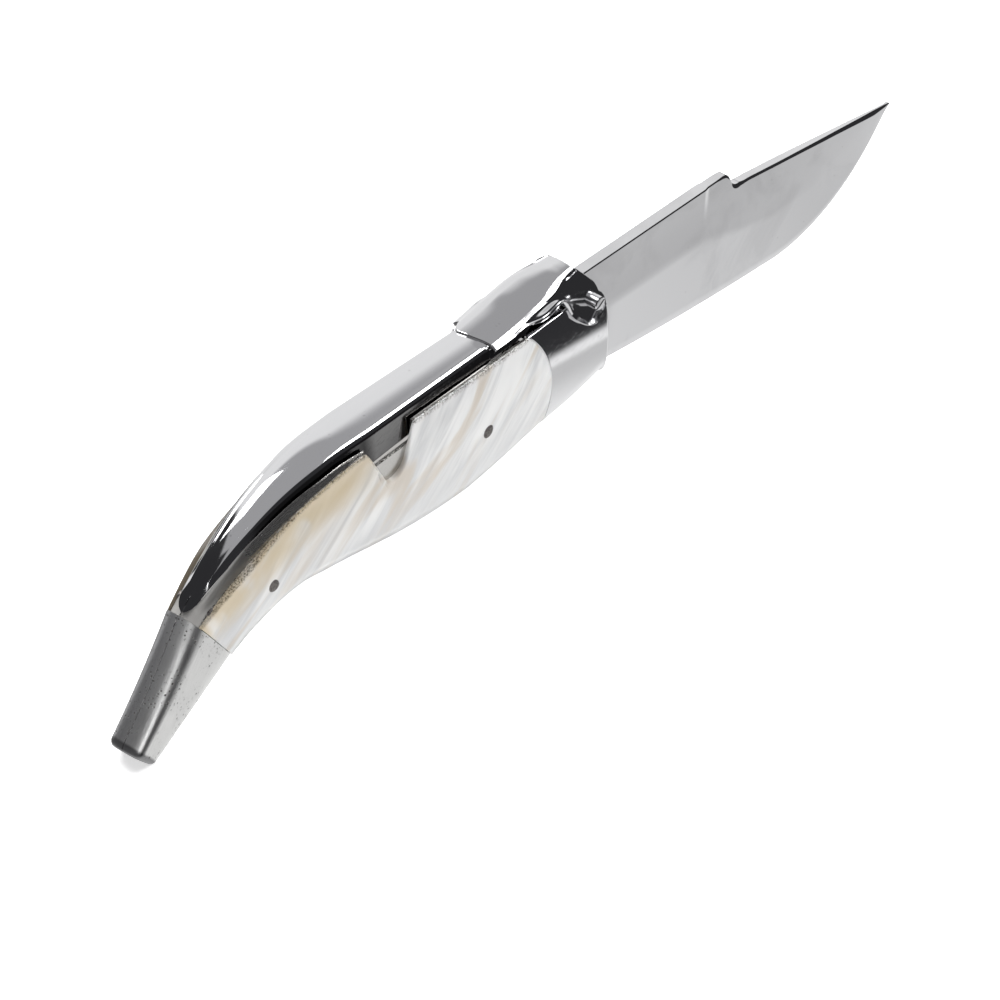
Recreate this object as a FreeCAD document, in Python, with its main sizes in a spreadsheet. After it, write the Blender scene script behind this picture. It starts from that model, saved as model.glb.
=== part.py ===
import FreeCAD, Part
import os
import Sketcher
from FreeCAD import Placement, Rotation, Vector

# Folding knife with a lever lock, shown open.
# Lengths are in millimetres. Points are measured from the place where the blade's back leaves the
# lever: x runs to the tip, z up to the blade's back, and depth from the middle to the left side.

doc = FreeCAD.newDocument("FoldingKnife")
sheet = doc.addObject("Spreadsheet::Sheet", "Sizes")


class Size:
    """A length together with the expression that gives it."""

    def __init__(self, value, text):
        self.value = float(value)
        self.text = text

    def _join(self, other, sign, result):
        return Size(result, "(%s %s %s)" % (self.text, sign, as_size(other).text))

    def __add__(self, other):
        return self._join(other, "+", self.value + as_size(other).value)

    def __sub__(self, other):
        return self._join(other, "-", self.value - as_size(other).value)

    def __mul__(self, other):
        return self._join(other, "*", self.value * as_size(other).value)

    def __truediv__(self, other):
        return self._join(other, "/", self.value / as_size(other).value)

    def __neg__(self):
        return Size(-self.value, "(0 - %s)" % self.text)


def as_size(number):
    return number if isinstance(number, Size) else Size(number, repr(number))


def root(size):
    return Size(size.value ** 0.5, "sqrt(%s)" % size.text)


row_count = 0


def size(alias, value):
    """Write one driving size in the sheet and return it."""
    global row_count
    row_count += 1
    sheet.set("A%d" % row_count, alias)
    sheet.set("B%d" % row_count, str(value))
    sheet.setAlias("B%d" % row_count, alias)
    return Size(value, "Sizes.%s" % alias)


# Clearances
running_fit = size("running_fit", 0.05)
seat_gap = size("seat_gap", 0.02)
side_gap = size("side_gap", 0.1)
lift_gap = size("lift_gap", 0.3)

# Blade, seen from the side
tip_x = size("tip_x", 92.9)
tip_drop = size("tip_drop", 10.0)
step_x = size("step_x", 41.3)
step_run = size("step_run", 3.9)
step_drop = size("step_drop", 3.7)
heel_x = size("heel_x", 3.0)
heel_drop = size("heel_drop", 22.8)
belly_x = size("belly_x", 57.0)
belly_drop = size("belly_drop", 27.9)
edge_rise = size("edge_rise", 0.6)
point_rise = size("point_rise", 5.85)
blade_half = size("blade_half", 1.25)
edge_half = size("edge_half", 0.2)
grind_drop = size("grind_drop", 11.0)
tip_half = size("tip_half", 0.4)

# Blade pivot and lever pin
pivot_back = size("pivot_back", 8.5)
pivot_radius = size("pivot_radius", 2.0)
pivot_reach = size("pivot_reach", 5.6)
tang_radius = size("tang_radius", 9.9)
tang_top_drop = size("tang_top_drop", 1.1)
lock_notch_width = size("lock_notch_width", 2.6)
lock_notch_depth = size("lock_notch_depth", 1.5)
lock_notch_back = size("lock_notch_back", 3.2)
lever_pin_drop = size("lever_pin_drop", 1.3)
lever_pin_radius = size("lever_pin_radius", 1.3)
lever_pin_proud = size("lever_pin_proud", 0.9)
stop_gap = size("stop_gap", 0.15)
slot_width = size("slot_width", 0.45)
slot_depth = size("slot_depth", 0.35)
washer_radius = size("washer_radius", 4.4)
washer_thickness = size("washer_thickness", 0.14)

# Handle, seen from the side
front_x = size("front_x", 2.2)
front_top_drop = size("front_top_drop", 0.7)
front_low_drop = size("front_low_drop", 19.4)
joint_cover = size("joint_cover", 0.8)
joint_lean = size("joint_lean", 4.2)
joint_rise = size("joint_rise", 3.4)
back_bend_x = size("back_bend_x", 60.0)
rear_top_back = size("rear_top_back", 102.0)
rear_top_drop = size("rear_top_drop", 15.2)
back_rise = size("back_rise", 3.7)
swell_back = size("swell_back", 34.0)
swell_drop = size("swell_drop", 24.7)
front_swell_rise = size("front_swell_rise", 0.7)
waist_back = size("waist_back", 76.0)
waist_drop = size("waist_drop", 20.2)
flank_back = size("flank_back", 55.0)
flank_drop = size("flank_drop", 23.0)
flank_rise = size("flank_rise", 0.4)
flank_hollow = size("flank_hollow", 0.3)
rear_low_fore = size("rear_low_fore", 8.1)
rear_low_drop = size("rear_low_drop", 25.5)
waist_hollow = size("waist_hollow", 1.33)
butt_run = size("butt_run", 10.6)
butt_top_drop = size("butt_top_drop", 34.5)
butt_low_drop = size("butt_low_drop", 38.7)
tail_rise = size("tail_rise", 0.5)

# Handle, from the middle outwards
channel_half = size("channel_half", 4.3)
liner_thickness = size("liner_thickness", 0.9)
cheek_gap = size("cheek_gap", 0.2)
tail_slot_half = size("tail_slot_half", 1.7)
blank_depth = size("blank_depth", 9.0)
round_half_height = size("round_half_height", 18.0)
round_rise = size("round_rise", 2.5)
round_front_x = size("round_front_x", 6.0)
round_front_drop = size("round_front_drop", 10.8)
round_front_depth = size("round_front_depth", 6.2)
round_fore_back = size("round_fore_back", 28.0)
round_fore_drop = size("round_fore_drop", 12.2)
round_fore_depth = size("round_fore_depth", 6.5)
round_middle_back = size("round_middle_back", 62.0)
round_middle_drop = size("round_middle_drop", 12.0)
round_middle_depth = size("round_middle_depth", 6.6)
round_waist_back = size("round_waist_back", 86.0)
round_waist_drop = size("round_waist_drop", 15.0)
round_waist_depth = size("round_waist_depth", 6.2)
round_tail_drop = size("round_tail_drop", 23.0)
round_tail_depth = size("round_tail_depth", 5.4)
round_butt_run = size("round_butt_run", 14.0)
round_butt_drop = size("round_butt_drop", 37.0)
round_butt_depth = size("round_butt_depth", 4.3)
ear_flat_depth = size("ear_flat_depth", 5.2)
ear_flat_drop = size("ear_flat_drop", 6.9)
ear_flat_back = size("ear_flat_back", 11.6)

# Spring
spring_half = size("spring_half", 4.2)
spring_crown = size("spring_crown", 2.6)
spring_round = size("spring_round", 2.2)
spring_tail_fore = size("spring_tail_fore", 1.8)
spring_tail_drop = size("spring_tail_drop", 14.6)
spring_back_rise = size("spring_back_rise", 4.4)
spring_step_back = size("spring_step_back", 28.6)
nose_back = size("nose_back", 5.0)
nose_half = size("nose_half", 3.2)
nose_top = size("nose_top", 3.1)
nose_step_top = size("nose_step_top", 1.7)
nose_under = size("nose_under", 0.7)
middle_back = size("middle_back", 50.0)
middle_under = size("middle_under", 2.4)
hip_fore = size("hip_fore", 12.0)
hip_under = size("hip_under", 11.4)
hip_rise = size("hip_rise", 2.6)
lug_fore = size("lug_fore", 6.7)
lug_under = size("lug_under", 16.6)
lug_end_fore = size("lug_end_fore", 2.4)
lug_end_under = size("lug_end_under", 18.6)
rivet_fore = size("rivet_fore", 4.8)
rivet_drop = size("rivet_drop", 15.5)
rivet_radius = size("rivet_radius", 1.1)
tail_rivet_fore = size("tail_rivet_fore", 2.4)
tail_rivet_drop = size("tail_rivet_drop", 33.4)
tail_rivet_reach = size("tail_rivet_reach", 2.8)
tip_slot_drop = size("tip_slot_drop", 6.0)
tooth_gap = size("tooth_gap", 0.15)

# Lever
lever_tail_back = size("lever_tail_back", 28.0)
lever_tail_low = size("lever_tail_low", 0.4)
lever_tail_top = size("lever_tail_top", 3.1)
lever_hump_back = size("lever_hump_back", 12.5)
lever_hump_top = size("lever_hump_top", 5.4)
lever_roof_rise = size("lever_roof_rise", 0.6)
lever_front_back = size("lever_front_back", 4.0)
lever_front_top = size("lever_front_top", 4.7)
hump_rise = size("hump_rise", 0.25)
ear_radius = size("ear_radius", 3.3)
ear_neck_back = size("ear_neck_back", 8.2)
ear_neck_drop = size("ear_neck_drop", 1.6)
arch_front_back = size("arch_front_back", 11.2)
arch_rear_back = size("arch_rear_back", 15.0)
arch_top = size("arch_top", 2.2)
lever_wall = size("lever_wall", 0.95)
lever_roof = size("lever_roof", 1.1)
lever_tail_half = size("lever_tail_half", 4.5)
ear_inner = size("ear_inner", 5.35)
flare_back = size("flare_back", 11.5)
roof_half = size("roof_half", 4.1)
lean_top = size("lean_top", 5.4)
lift_pin_back = size("lift_pin_back", 8.2)
lift_pin_up = size("lift_pin_up", 1.2)
lift_pin_radius = size("lift_pin_radius", 0.8)
lift_slot_run = size("lift_slot_run", 1.6)

# Pins of the scales and bolsters, and the left notch
scale_pin_radius = size("scale_pin_radius", 1.35)
front_pin_back = size("front_pin_back", 30.7)
front_pin_drop = size("front_pin_drop", 13.9)
rear_pin_back = size("rear_pin_back", 85.0)
rear_pin_drop = size("rear_pin_drop", 15.0)
tab_run = size("tab_run", 3.8)
tab_top_drop = size("tab_top_drop", 5.0)
tab_low_drop = size("tab_low_drop", 19.0)
bolster_pin_radius = size("bolster_pin_radius", 0.9)
bolster_pin_inset = size("bolster_pin_inset", 2.2)
rear_tab_fore = size("rear_tab_fore", 13.5)
notch_rear_back = size("notch_rear_back", 62.4)
notch_front_back = size("notch_front_back", 50.2)
notch_rear_foot_back = size("notch_rear_foot_back", 59.6)
notch_front_foot_back = size("notch_front_foot_back", 52.2)
notch_drop = size("notch_drop", 9.6)
notch_foot_rise = size("notch_foot_rise", 1.6)
liner_notch_drop = size("liner_notch_drop", 5.2)
liner_notch_fall = size("liner_notch_fall", 1.6)

# Values worked out from the sizes above
scale_inner = channel_half + liner_thickness
cheek_inner = blade_half + cheek_gap
pivot_drop = tang_top_drop + tang_radius
pin_spacing = tang_radius + lever_pin_radius + stop_gap
pin_height = pivot_drop - lever_pin_drop
lever_pin_back = pivot_back - root(pin_spacing * pin_spacing - pin_height * pin_height)
joint_top_back = pivot_back + tang_radius + joint_cover
joint_low_back = joint_top_back - joint_lean
tab_back = joint_top_back + tab_run
bolster_pin_back = tab_back - bolster_pin_inset
rear_low_back = rear_top_back - rear_low_fore
butt_back = rear_top_back + butt_run
round_butt_back = rear_top_back + round_butt_run
spring_tail_back = rear_top_back - spring_tail_fore
hip_back = rear_top_back - hip_fore
lug_back = rear_top_back - lug_fore
lug_end_back = rear_top_back - lug_end_fore
rivet_back = rear_top_back - rivet_fore
tail_rivet_back = butt_back - tail_rivet_fore
rear_tab_front_back = rear_top_back - rear_tab_fore
frame_x = (butt_back - tip_x) / 2
frame_z = butt_low_drop
ear_outer = ear_inner + lever_wall
pin_reach = ear_outer + lever_pin_proud
stop_x = lever_pin_radius + stop_gap - lever_pin_back
origin = as_size(0)

built = []


def origin_plane(body, role):
    return next(f for f in body.Origin.OriginFeatures if f.Role == role)


def new_body(name):
    return doc.addObject("PartDesign::Body", name)


def new_sketch(body, plane, name, offset):
    """A sketch on one of the body's own planes, moved along that plane's direction by offset."""
    sketch = body.newObject("Sketcher::SketchObject", name)
    sketch.AttachmentSupport = [(origin_plane(body, plane), "")]
    sketch.MapMode = "FlatFace"
    sketch.AttachmentOffset = Placement(Vector(0, 0, offset.value), Rotation())
    sketch.setExpression("AttachmentOffset.Base.z", offset.text)
    return sketch


def bind(sketch, constraint, text):
    index = sketch.addConstraint(constraint)
    sketch.setExpression("Constraints[%d]" % index, text)


def arc_radius(start, end, rise):
    run = end[0] - start[0]
    climb = end[1] - start[1]
    return (run * run + climb * climb) / (rise * 8) + rise / 2


def quarter_rise(radius):
    """The rise of a quarter circle."""
    return radius * (as_size(2) - root(as_size(2))) / 2


def draw_outline(sketch, corners, rises=None):
    """Draw a closed outline. A rise turns the side after that corner into an arc to its left."""
    rises = rises or {}
    count = len(corners)
    ends = []
    for number, start in enumerate(corners):
        end = corners[(number + 1) % count]
        first = Vector(start[0].value, start[1].value, 0)
        last = Vector(end[0].value, end[1].value, 0)
        if number not in rises:
            index = sketch.addGeometry(Part.LineSegment(first, last), False)
            ends.append((index, 1, 2))
            continue
        rise, side = rises[number]
        chord = last - first
        left = Vector(-chord.y, chord.x, 0).normalize()
        middle = (first + last) * 0.5 + left * (rise.value * side)
        index = sketch.addGeometry(Part.Arc(first, middle, last), False)
        straight = (sketch.getPoint(index, 1) - first).Length < (sketch.getPoint(index, 2) - first).Length
        ends.append((index, 1, 2) if straight else (index, 2, 1))
    for number, (index, start, end) in enumerate(ends):
        following = ends[(number + 1) % count]
        sketch.addConstraint(Sketcher.Constraint("Coincident", index, end, following[0], following[1]))
    for number, (index, start, end) in enumerate(ends):
        x, y = corners[number]
        bind(sketch, Sketcher.Constraint("DistanceX", -1, 1, index, start, x.value), x.text)
        bind(sketch, Sketcher.Constraint("DistanceY", -1, 1, index, start, y.value), y.text)
    for number in rises:
        radius = arc_radius(corners[number], corners[(number + 1) % count], rises[number][0])
        bind(sketch, Sketcher.Constraint("Radius", ends[number][0], radius.value), radius.text)


def pad(body, sketch, length, name):
    feature = body.newObject("PartDesign::Pad", name)
    feature.Profile = sketch
    feature.Length = length.value
    feature.setExpression("Length", length.text)
    sketch.Visibility = False
    return feature


def plate(name, corners, rises, inner, outer):
    """A plate with a side outline, from depth inner to depth outer."""
    body = new_body(name)
    sketch = new_sketch(body, "XZ_Plane", name + "Outline", inner)
    draw_outline(sketch, corners, rises)
    pad(body, sketch, outer - inner, name + "Pad")
    return body


def bar(name, corners, start, end):
    """A bar with a cross outline (side, height), from x start to x end."""
    body = new_body(name)
    sketch = new_sketch(body, "YZ_Plane", name + "Outline", start)
    draw_outline(sketch, corners)
    pad(body, sketch, end - start, name + "Pad")
    return body


def place(feature, x, y, z):
    for axis, value in (("x", x), ("y", y), ("z", z)):
        feature.setExpression("Placement.Base.%s" % axis, value.text)


def cross_pin(name, x, z, inner, outer, radius):
    """A round bar across the handle, from depth inner to depth outer on the left."""
    pin = doc.addObject("Part::Cylinder", name)
    pin.setExpression("Radius", radius.text)
    pin.setExpression("Height", (outer - inner).text)
    pin.Placement = Placement(Vector(), Rotation(Vector(1, 0, 0), 90))
    place(pin, x, -inner, z)
    return pin


def through_pin(name, x, z, reach, radius):
    return cross_pin(name, x, z, -reach, reach, radius)


def boolean(kind, name, base, tool):
    feature = doc.addObject("Part::" + kind, name)
    feature.Base = base
    feature.Tool = tool
    return feature


def cut_all(name, base, tools):
    for number, tool in enumerate(tools):
        base = boolean("Cut", "%sCut%d" % (name, number), base, tool)
    return base


def mirrored(name, source):
    feature = doc.addObject("Part::Mirroring", name)
    feature.Source = source
    feature.Normal = Vector(0, 1, 0)
    return feature


def finish(feature, label):
    """Name a finished piece and set it in the shared frame."""
    feature.Label = label
    place(feature, frame_x, origin, frame_z)
    built.append(feature)
    return feature


def finish_pin(feature, label, x, y, z):
    feature.Label = label
    place(feature, x + frame_x, y, z + frame_z)
    built.append(feature)
    return feature


def finish_mirror(source, label):
    feature = mirrored(label.title().replace("_", ""), source)
    feature.Label = label
    built.append(feature)
    return feature


# The rounded outer surface shared by scales, bolsters and pins
def round_section(body, name, x, middle_drop, depth):
    sketch = new_sketch(body, "YZ_Plane", name, x)
    edge = -(depth - round_rise)
    top = round_half_height - middle_drop
    low = -(round_half_height + middle_drop)
    corners = [(origin, low), (origin, top), (edge, top), (edge, low)]
    draw_outline(sketch, corners, {2: (round_rise, -1)})
    sketch.Visibility = False
    return sketch


stations = (
    ("Front", round_front_x, round_front_drop, round_front_depth),
    ("Fore", -round_fore_back, round_fore_drop, round_fore_depth),
    ("Middle", -round_middle_back, round_middle_drop, round_middle_depth),
    ("Waist", -round_waist_back, round_waist_drop, round_waist_depth),
    ("Tail", -rear_top_back, round_tail_drop, round_tail_depth),
    ("Butt", -round_butt_back, round_butt_drop, round_butt_depth),
)
rounding = new_body("Rounding")
sections = [round_section(rounding, "Round" + n, x, drop, depth) for n, x, drop, depth in stations]
rounding_loft = rounding.newObject("PartDesign::AdditiveLoft", "RoundingLoft")
rounding_loft.Profile = sections[0]
rounding_loft.Sections = sections[1:]

# Corners that several pieces share
front_top = (front_x, -front_top_drop)
front_low = (front_x, -front_low_drop)
joint_top = (-joint_top_back, -front_top_drop)
joint_low_line = front_low_drop + (swell_drop - front_low_drop) * (
    (front_x + joint_low_back) / (front_x + swell_back))
joint_low = (-joint_low_back, -joint_low_line - front_swell_rise)
back_bend = (-back_bend_x, -front_top_drop)
rear_top = (-rear_top_back, -rear_top_drop)
swell = (-swell_back, -swell_drop)
flank = (-flank_back, -flank_drop)
waist = (-waist_back, -waist_drop)
rear_low = (-rear_low_back, -rear_low_drop)
butt_top = (-butt_back, -butt_top_drop)
butt_low = (-butt_back, -butt_low_drop)
pivot = (-pivot_back, -pivot_drop)
lever_axis = (-lever_pin_back, -lever_pin_drop)
rivet_axis = (-rivet_back, -rivet_drop)
tail_rivet_axis = (-tail_rivet_back, -tail_rivet_drop)
front_pin_axis = (-front_pin_back, -front_pin_drop)
rear_pin_axis = (-rear_pin_back, -rear_pin_drop)
upper_bolster_pin = (-bolster_pin_back, -(tab_top_drop + bolster_pin_inset))
lower_bolster_pin = (-bolster_pin_back, -(tab_low_drop - bolster_pin_inset))

side_corners = [joint_top, joint_low, swell, flank, waist, rear_low, rear_top, back_bend]
side_rises = {
    0: (joint_rise, 1),
    1: (front_swell_rise / 3, 1),
    2: (flank_rise, 1),
    3: (flank_hollow, -1),
    4: (waist_hollow, -1),
    6: (back_rise, 1),
}

# Blade
tang_corner = tang_radius * tang_radius - (stop_x + pivot_back) * (stop_x + pivot_back)
tang_front_z = root(tang_corner) - pivot_drop
blade_corners = [
    (stop_x, tang_front_z),
    (stop_x, origin),
    (step_x, origin),
    (step_x + step_run, -step_drop),
    (tip_x, -tip_drop),
    (belly_x, -belly_drop),
    (heel_x, -heel_drop),
    (-pivot_back, -(pivot_drop + tang_radius)),
    (-(pivot_back + tang_radius), -pivot_drop),
    (-pivot_back, tang_radius - pivot_drop),
]
tang_front_rise = tang_radius - root(
    tang_radius * tang_radius
    - ((stop_x + pivot_back) * (stop_x + pivot_back)
       + (tang_radius - pivot_drop - tang_front_z) * (tang_radius - pivot_drop - tang_front_z)) / 4)
blade_blank = plate("BladeBlank", blade_corners, {
    4: (point_rise, 1),
    5: (edge_rise, 1),
    7: (quarter_rise(tang_radius), 1),
    8: (quarter_rise(tang_radius), 1),
    9: (tang_front_rise, 1),
}, -blade_half, blade_half)
grind_corners = [
    (-blade_half, tang_radius),
    (-blade_half, -grind_drop),
    (-edge_half, -belly_drop),
    (edge_half, -belly_drop),
    (blade_half, -grind_drop),
    (blade_half, tang_radius),
]
grind = bar("Grind", grind_corners, -(pivot_back + tang_radius + tang_radius), tip_x)
flat_taper = new_body("DistalTaper")
taper_sketch = new_sketch(flat_taper, "XY_Plane", "TaperOutline", -(belly_drop + belly_drop))
draw_outline(taper_sketch, [
    (-(pivot_back + tang_radius + tang_radius), -blade_half),
    (step_x, -blade_half),
    (tip_x, -tip_half),
    (tip_x, tip_half),
    (step_x, blade_half),
    (-(pivot_back + tang_radius + tang_radius), blade_half),
])
pad(flat_taper, taper_sketch, belly_drop * 3, "TaperPad")
blade_ground = boolean("Common", "BladeGround", blade_blank, grind)
blade_tapered = boolean("Common", "BladeTapered", blade_ground, flat_taper)
pivot_hole = through_pin("PivotHole", pivot[0], pivot[1], blank_depth, pivot_radius + running_fit)
notch_back_x = -(pivot_back + lock_notch_back)
lock_notch = plate("LockNotch", [
    (notch_back_x - lock_notch_width / 2, tang_radius),
    (notch_back_x - lock_notch_width / 2, tang_radius - pivot_drop - lock_notch_depth - front_top_drop),
    (notch_back_x + lock_notch_width / 2, tang_radius - pivot_drop - lock_notch_depth - front_top_drop),
    (notch_back_x + lock_notch_width / 2, tang_radius),
], {}, -blank_depth, blank_depth)
finish(cut_all("Blade", blade_tapered, [pivot_hole, lock_notch]), "blade")

# Pivot pin and its washers
pivot_pin = through_pin("PivotPin", pivot[0], pivot[1], pivot_reach, pivot_radius)
finish_pin(pivot_pin, "pivot_pin", pivot[0], pivot_reach, pivot[1])
washer_inner = blade_half + (cheek_gap - washer_thickness) / 2
washer_disc = cross_pin("WasherDisc", pivot[0], pivot[1], washer_inner, washer_inner + washer_thickness,
                        washer_radius)
left_washer = finish(cut_all("Washer", washer_disc, [pivot_hole]), "left_pivot_washer")
finish_mirror(left_washer, "right_pivot_washer")

# Front bolsters
bolster_blank = plate("BolsterBlank", [front_top, front_low, joint_low, joint_top], {
    1: (front_swell_rise / 3, 1),
    2: (joint_rise, -1),
}, cheek_inner, blank_depth)
bolster_round = boolean("Common", "BolsterRound", bolster_blank, rounding)
tab = plate("BolsterTab", [
    (-joint_low_back, -tab_top_drop),
    (-tab_back, -tab_top_drop),
    (-tab_back, -tab_low_drop),
    (-joint_low_back, -tab_low_drop),
], {}, cheek_inner, channel_half - seat_gap)
tab_bridge = plate("BolsterBridge", [
    (-pivot_back, -tab_top_drop),
    (-joint_low_back, -tab_top_drop),
    (-joint_low_back, -tab_low_drop),
    (-pivot_back, -tab_low_drop),
], {}, cheek_inner, channel_half - seat_gap)
bolster_with_bridge = boolean("Fuse", "BolsterWithBridge", bolster_round, tab_bridge)
bolster_with_tab = boolean("Fuse", "BolsterWithTab", bolster_with_bridge, tab)
seat = plate("SpringSeat", [
    (-nose_back + lift_gap * 2, blank_depth),
    (-tab_back, blank_depth),
    (-tab_back, -(middle_under + lift_gap)),
    (-nose_back + lift_gap * 2, -(nose_under + lift_gap)),
], {}, -channel_half, channel_half)
ear_flat = plate("EarFlat", [
    (front_x + ear_radius, blank_depth),
    (-ear_flat_back, blank_depth),
    (-ear_flat_back, -ear_flat_drop),
    (front_x + ear_radius, -ear_flat_drop),
], {}, ear_flat_depth, blank_depth + blank_depth)
lever_pin_hole = through_pin("LeverPinHole", lever_axis[0], lever_axis[1], blank_depth,
                             lever_pin_radius + seat_gap)
pivot_seat = through_pin("PivotSeat", pivot[0], pivot[1], pivot_reach + seat_gap, pivot_radius + seat_gap)
bolster_pin_reach = cheek_inner + seat_gap


def bolster_pin(name, axis):
    return cross_pin(name, axis[0], axis[1], bolster_pin_reach, scale_inner - seat_gap, bolster_pin_radius)


def bolster_pin_hole(name, axis):
    return cross_pin(name, axis[0], axis[1], origin, scale_inner, bolster_pin_radius + seat_gap)


bolster_pin_holes = [
    bolster_pin_hole("UpperBolsterPinHole", upper_bolster_pin),
    bolster_pin_hole("LowerBolsterPinHole", lower_bolster_pin),
]
bolster_tools = [seat, ear_flat, lever_pin_hole, pivot_seat] + bolster_pin_holes
left_bolster = finish(cut_all("Bolster", bolster_with_tab, bolster_tools), "left_front_bolster")
finish_mirror(left_bolster, "right_front_bolster")

bolster_pins = boolean("Fuse", "BolsterPins", bolster_pin("UpperBolsterPin", upper_bolster_pin),
                       bolster_pin("LowerBolsterPin", lower_bolster_pin))
left_bolster_pins = finish(bolster_pins, "left_bolster_pins")
finish_mirror(left_bolster_pins, "right_bolster_pins")

# Liners and scales
rivet_hole = through_pin("RivetHole", rivet_axis[0], rivet_axis[1], scale_inner, rivet_radius + seat_gap)
scale_pin_holes = [
    cross_pin("FrontScalePinHole", front_pin_axis[0], front_pin_axis[1], origin, blank_depth,
              scale_pin_radius + seat_gap),
    cross_pin("RearScalePinHole", rear_pin_axis[0], rear_pin_axis[1], origin, blank_depth,
              scale_pin_radius + seat_gap),
]
liner_blank = plate("LinerBlank", side_corners, side_rises, channel_half, scale_inner)
liner_plain = cut_all("LinerPlain", liner_blank, scale_pin_holes + [rivet_hole] + bolster_pin_holes)
scale_blank = plate("ScaleBlank", side_corners, side_rises, scale_inner, blank_depth)
scale_round = boolean("Common", "ScaleRound", scale_blank, rounding)
scale_plain = cut_all("ScalePlain", scale_round, scale_pin_holes)

notch_tool = plate("NotchTool", [
    (-notch_rear_back, front_top_drop),
    (-notch_rear_back, -front_top_drop),
    (-notch_rear_foot_back, -notch_drop),
    (-notch_front_foot_back, -notch_drop),
    (-notch_front_back, -front_top_drop),
    (-notch_front_back, front_top_drop),
], {2: (notch_foot_rise, -1)}, origin, blank_depth)
liner_notch_tool = plate("LinerNotchTool", [
    (-notch_rear_back, front_top_drop),
    (-notch_rear_back, -liner_notch_drop),
    (-notch_front_back, -(liner_notch_drop + liner_notch_fall)),
    (-notch_front_back, front_top_drop),
], {}, origin, blank_depth)
finish(boolean("Cut", "LeftLiner", liner_plain, liner_notch_tool), "left_liner")
finish(mirrored("RightLiner", liner_plain), "right_liner")
finish(boolean("Cut", "LeftScale", scale_plain, notch_tool), "left_scale")
finish(mirrored("RightScale", scale_plain), "right_scale")

for label, axis in (("front_scale_pin", front_pin_axis), ("rear_scale_pin", rear_pin_axis)):
    rod = cross_pin(label.title().replace("_", "") + "Rod", axis[0], axis[1], channel_half, blank_depth,
                    scale_pin_radius)
    left_pin = boolean("Common", label.title().replace("_", ""), rod, rounding)
    finish(left_pin, "left_" + label)
    finish_mirror(left_pin, "right_" + label)

# Spring along the back
step_under = nose_under + (middle_under - nose_under) * (spring_step_back - nose_back) / (
    middle_back - nose_back)
spring_body = plate("SpringBlank", [
    (-spring_step_back, spring_crown),
    (-back_bend_x, spring_crown),
    (-spring_tail_back, -spring_tail_drop),
    (-lug_end_back, -lug_end_under),
    (-lug_back, -lug_under),
    (-hip_back, -hip_under),
    (-middle_back, -middle_under),
    (-spring_step_back, -step_under),
], {1: (spring_back_rise, -1), 5: (hip_rise, 1)}, -spring_half, spring_half)
nose = plate("SpringNose", [
    (-nose_back, nose_top),
    (-spring_step_back, nose_step_top),
    (-(spring_step_back + nose_half), nose_step_top),
    (-(spring_step_back + nose_half), -step_under),
    (-spring_step_back, -step_under),
    (-nose_back, -nose_under),
], {}, -nose_half, nose_half)
doc.recompute()


def long_edges(shape, test):
    names = []
    for number, edge in enumerate(shape.Edges):
        middle = edge.valueAt((edge.FirstParameter + edge.LastParameter) / 2)
        if test(edge, middle):
            names.append("Edge%d" % (number + 1))
    return names


def round_edges(body, test, radius, name):
    tip = body.Tip
    names = long_edges(tip.Shape, test)
    feature = body.newObject("PartDesign::Fillet", name)
    feature.Base = (tip, names)
    feature.setExpression("Radius", radius.text)
    return feature


def on_spring_crown(edge, middle):
    """True for the long edges that meet where the crown starts to bend."""
    beside = abs(abs(middle.y) - spring_half.value) < seat_gap.value
    bend = [abs(v.X + back_bend_x.value) + abs(v.Z - spring_crown.value) for v in edge.Vertexes]
    return beside and min(bend) < seat_gap.value


round_edges(spring_body, on_spring_crown, spring_round, "SpringRound")
tooth_half = lock_notch_width / 2 - lift_gap
tooth_clear = tang_radius + tooth_gap
tooth_run = lock_notch_back - tooth_half
tooth_low = root(tooth_clear * tooth_clear - tooth_run * tooth_run) - pivot_drop
tooth = plate("LockTooth", [
    (notch_back_x - tooth_half, origin),
    (notch_back_x - tooth_half, tooth_low),
    (notch_back_x + tooth_half, tooth_low),
    (notch_back_x + tooth_half, origin),
], {}, -blade_half, blade_half)
spring_joined = boolean("Fuse", "SpringJoined", spring_body, nose)
spring_whole = boolean("Fuse", "SpringWhole", spring_joined, tooth)
lift_slot_front = lift_slot_run - lift_pin_back
slot_radius = lift_pin_radius + side_gap
lift_slot = plate("LiftSlot", [
    (-lift_pin_back, lift_pin_up - slot_radius),
    (lift_slot_front, lift_pin_up - slot_radius),
    (lift_slot_front + slot_radius, lift_pin_up),
    (lift_slot_front, lift_pin_up + slot_radius),
    (-lift_pin_back, lift_pin_up + slot_radius),
    (-lift_pin_back - slot_radius, lift_pin_up),
], {side: (quarter_rise(slot_radius), -1) for side in (1, 2, 4, 5)}, -blank_depth, blank_depth)
rivet_bore = through_pin("RivetBore", rivet_axis[0], rivet_axis[1], blank_depth, rivet_radius + running_fit)
finish(cut_all("Spring", spring_whole, [lift_slot, rivet_bore]), "back_spring")

rivet_reach = scale_inner - seat_gap
spring_rivet = through_pin("SpringRivet", rivet_axis[0], rivet_axis[1], rivet_reach, rivet_radius)
finish_pin(spring_rivet, "spring_rivet", rivet_axis[0], rivet_reach, rivet_axis[1])

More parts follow.
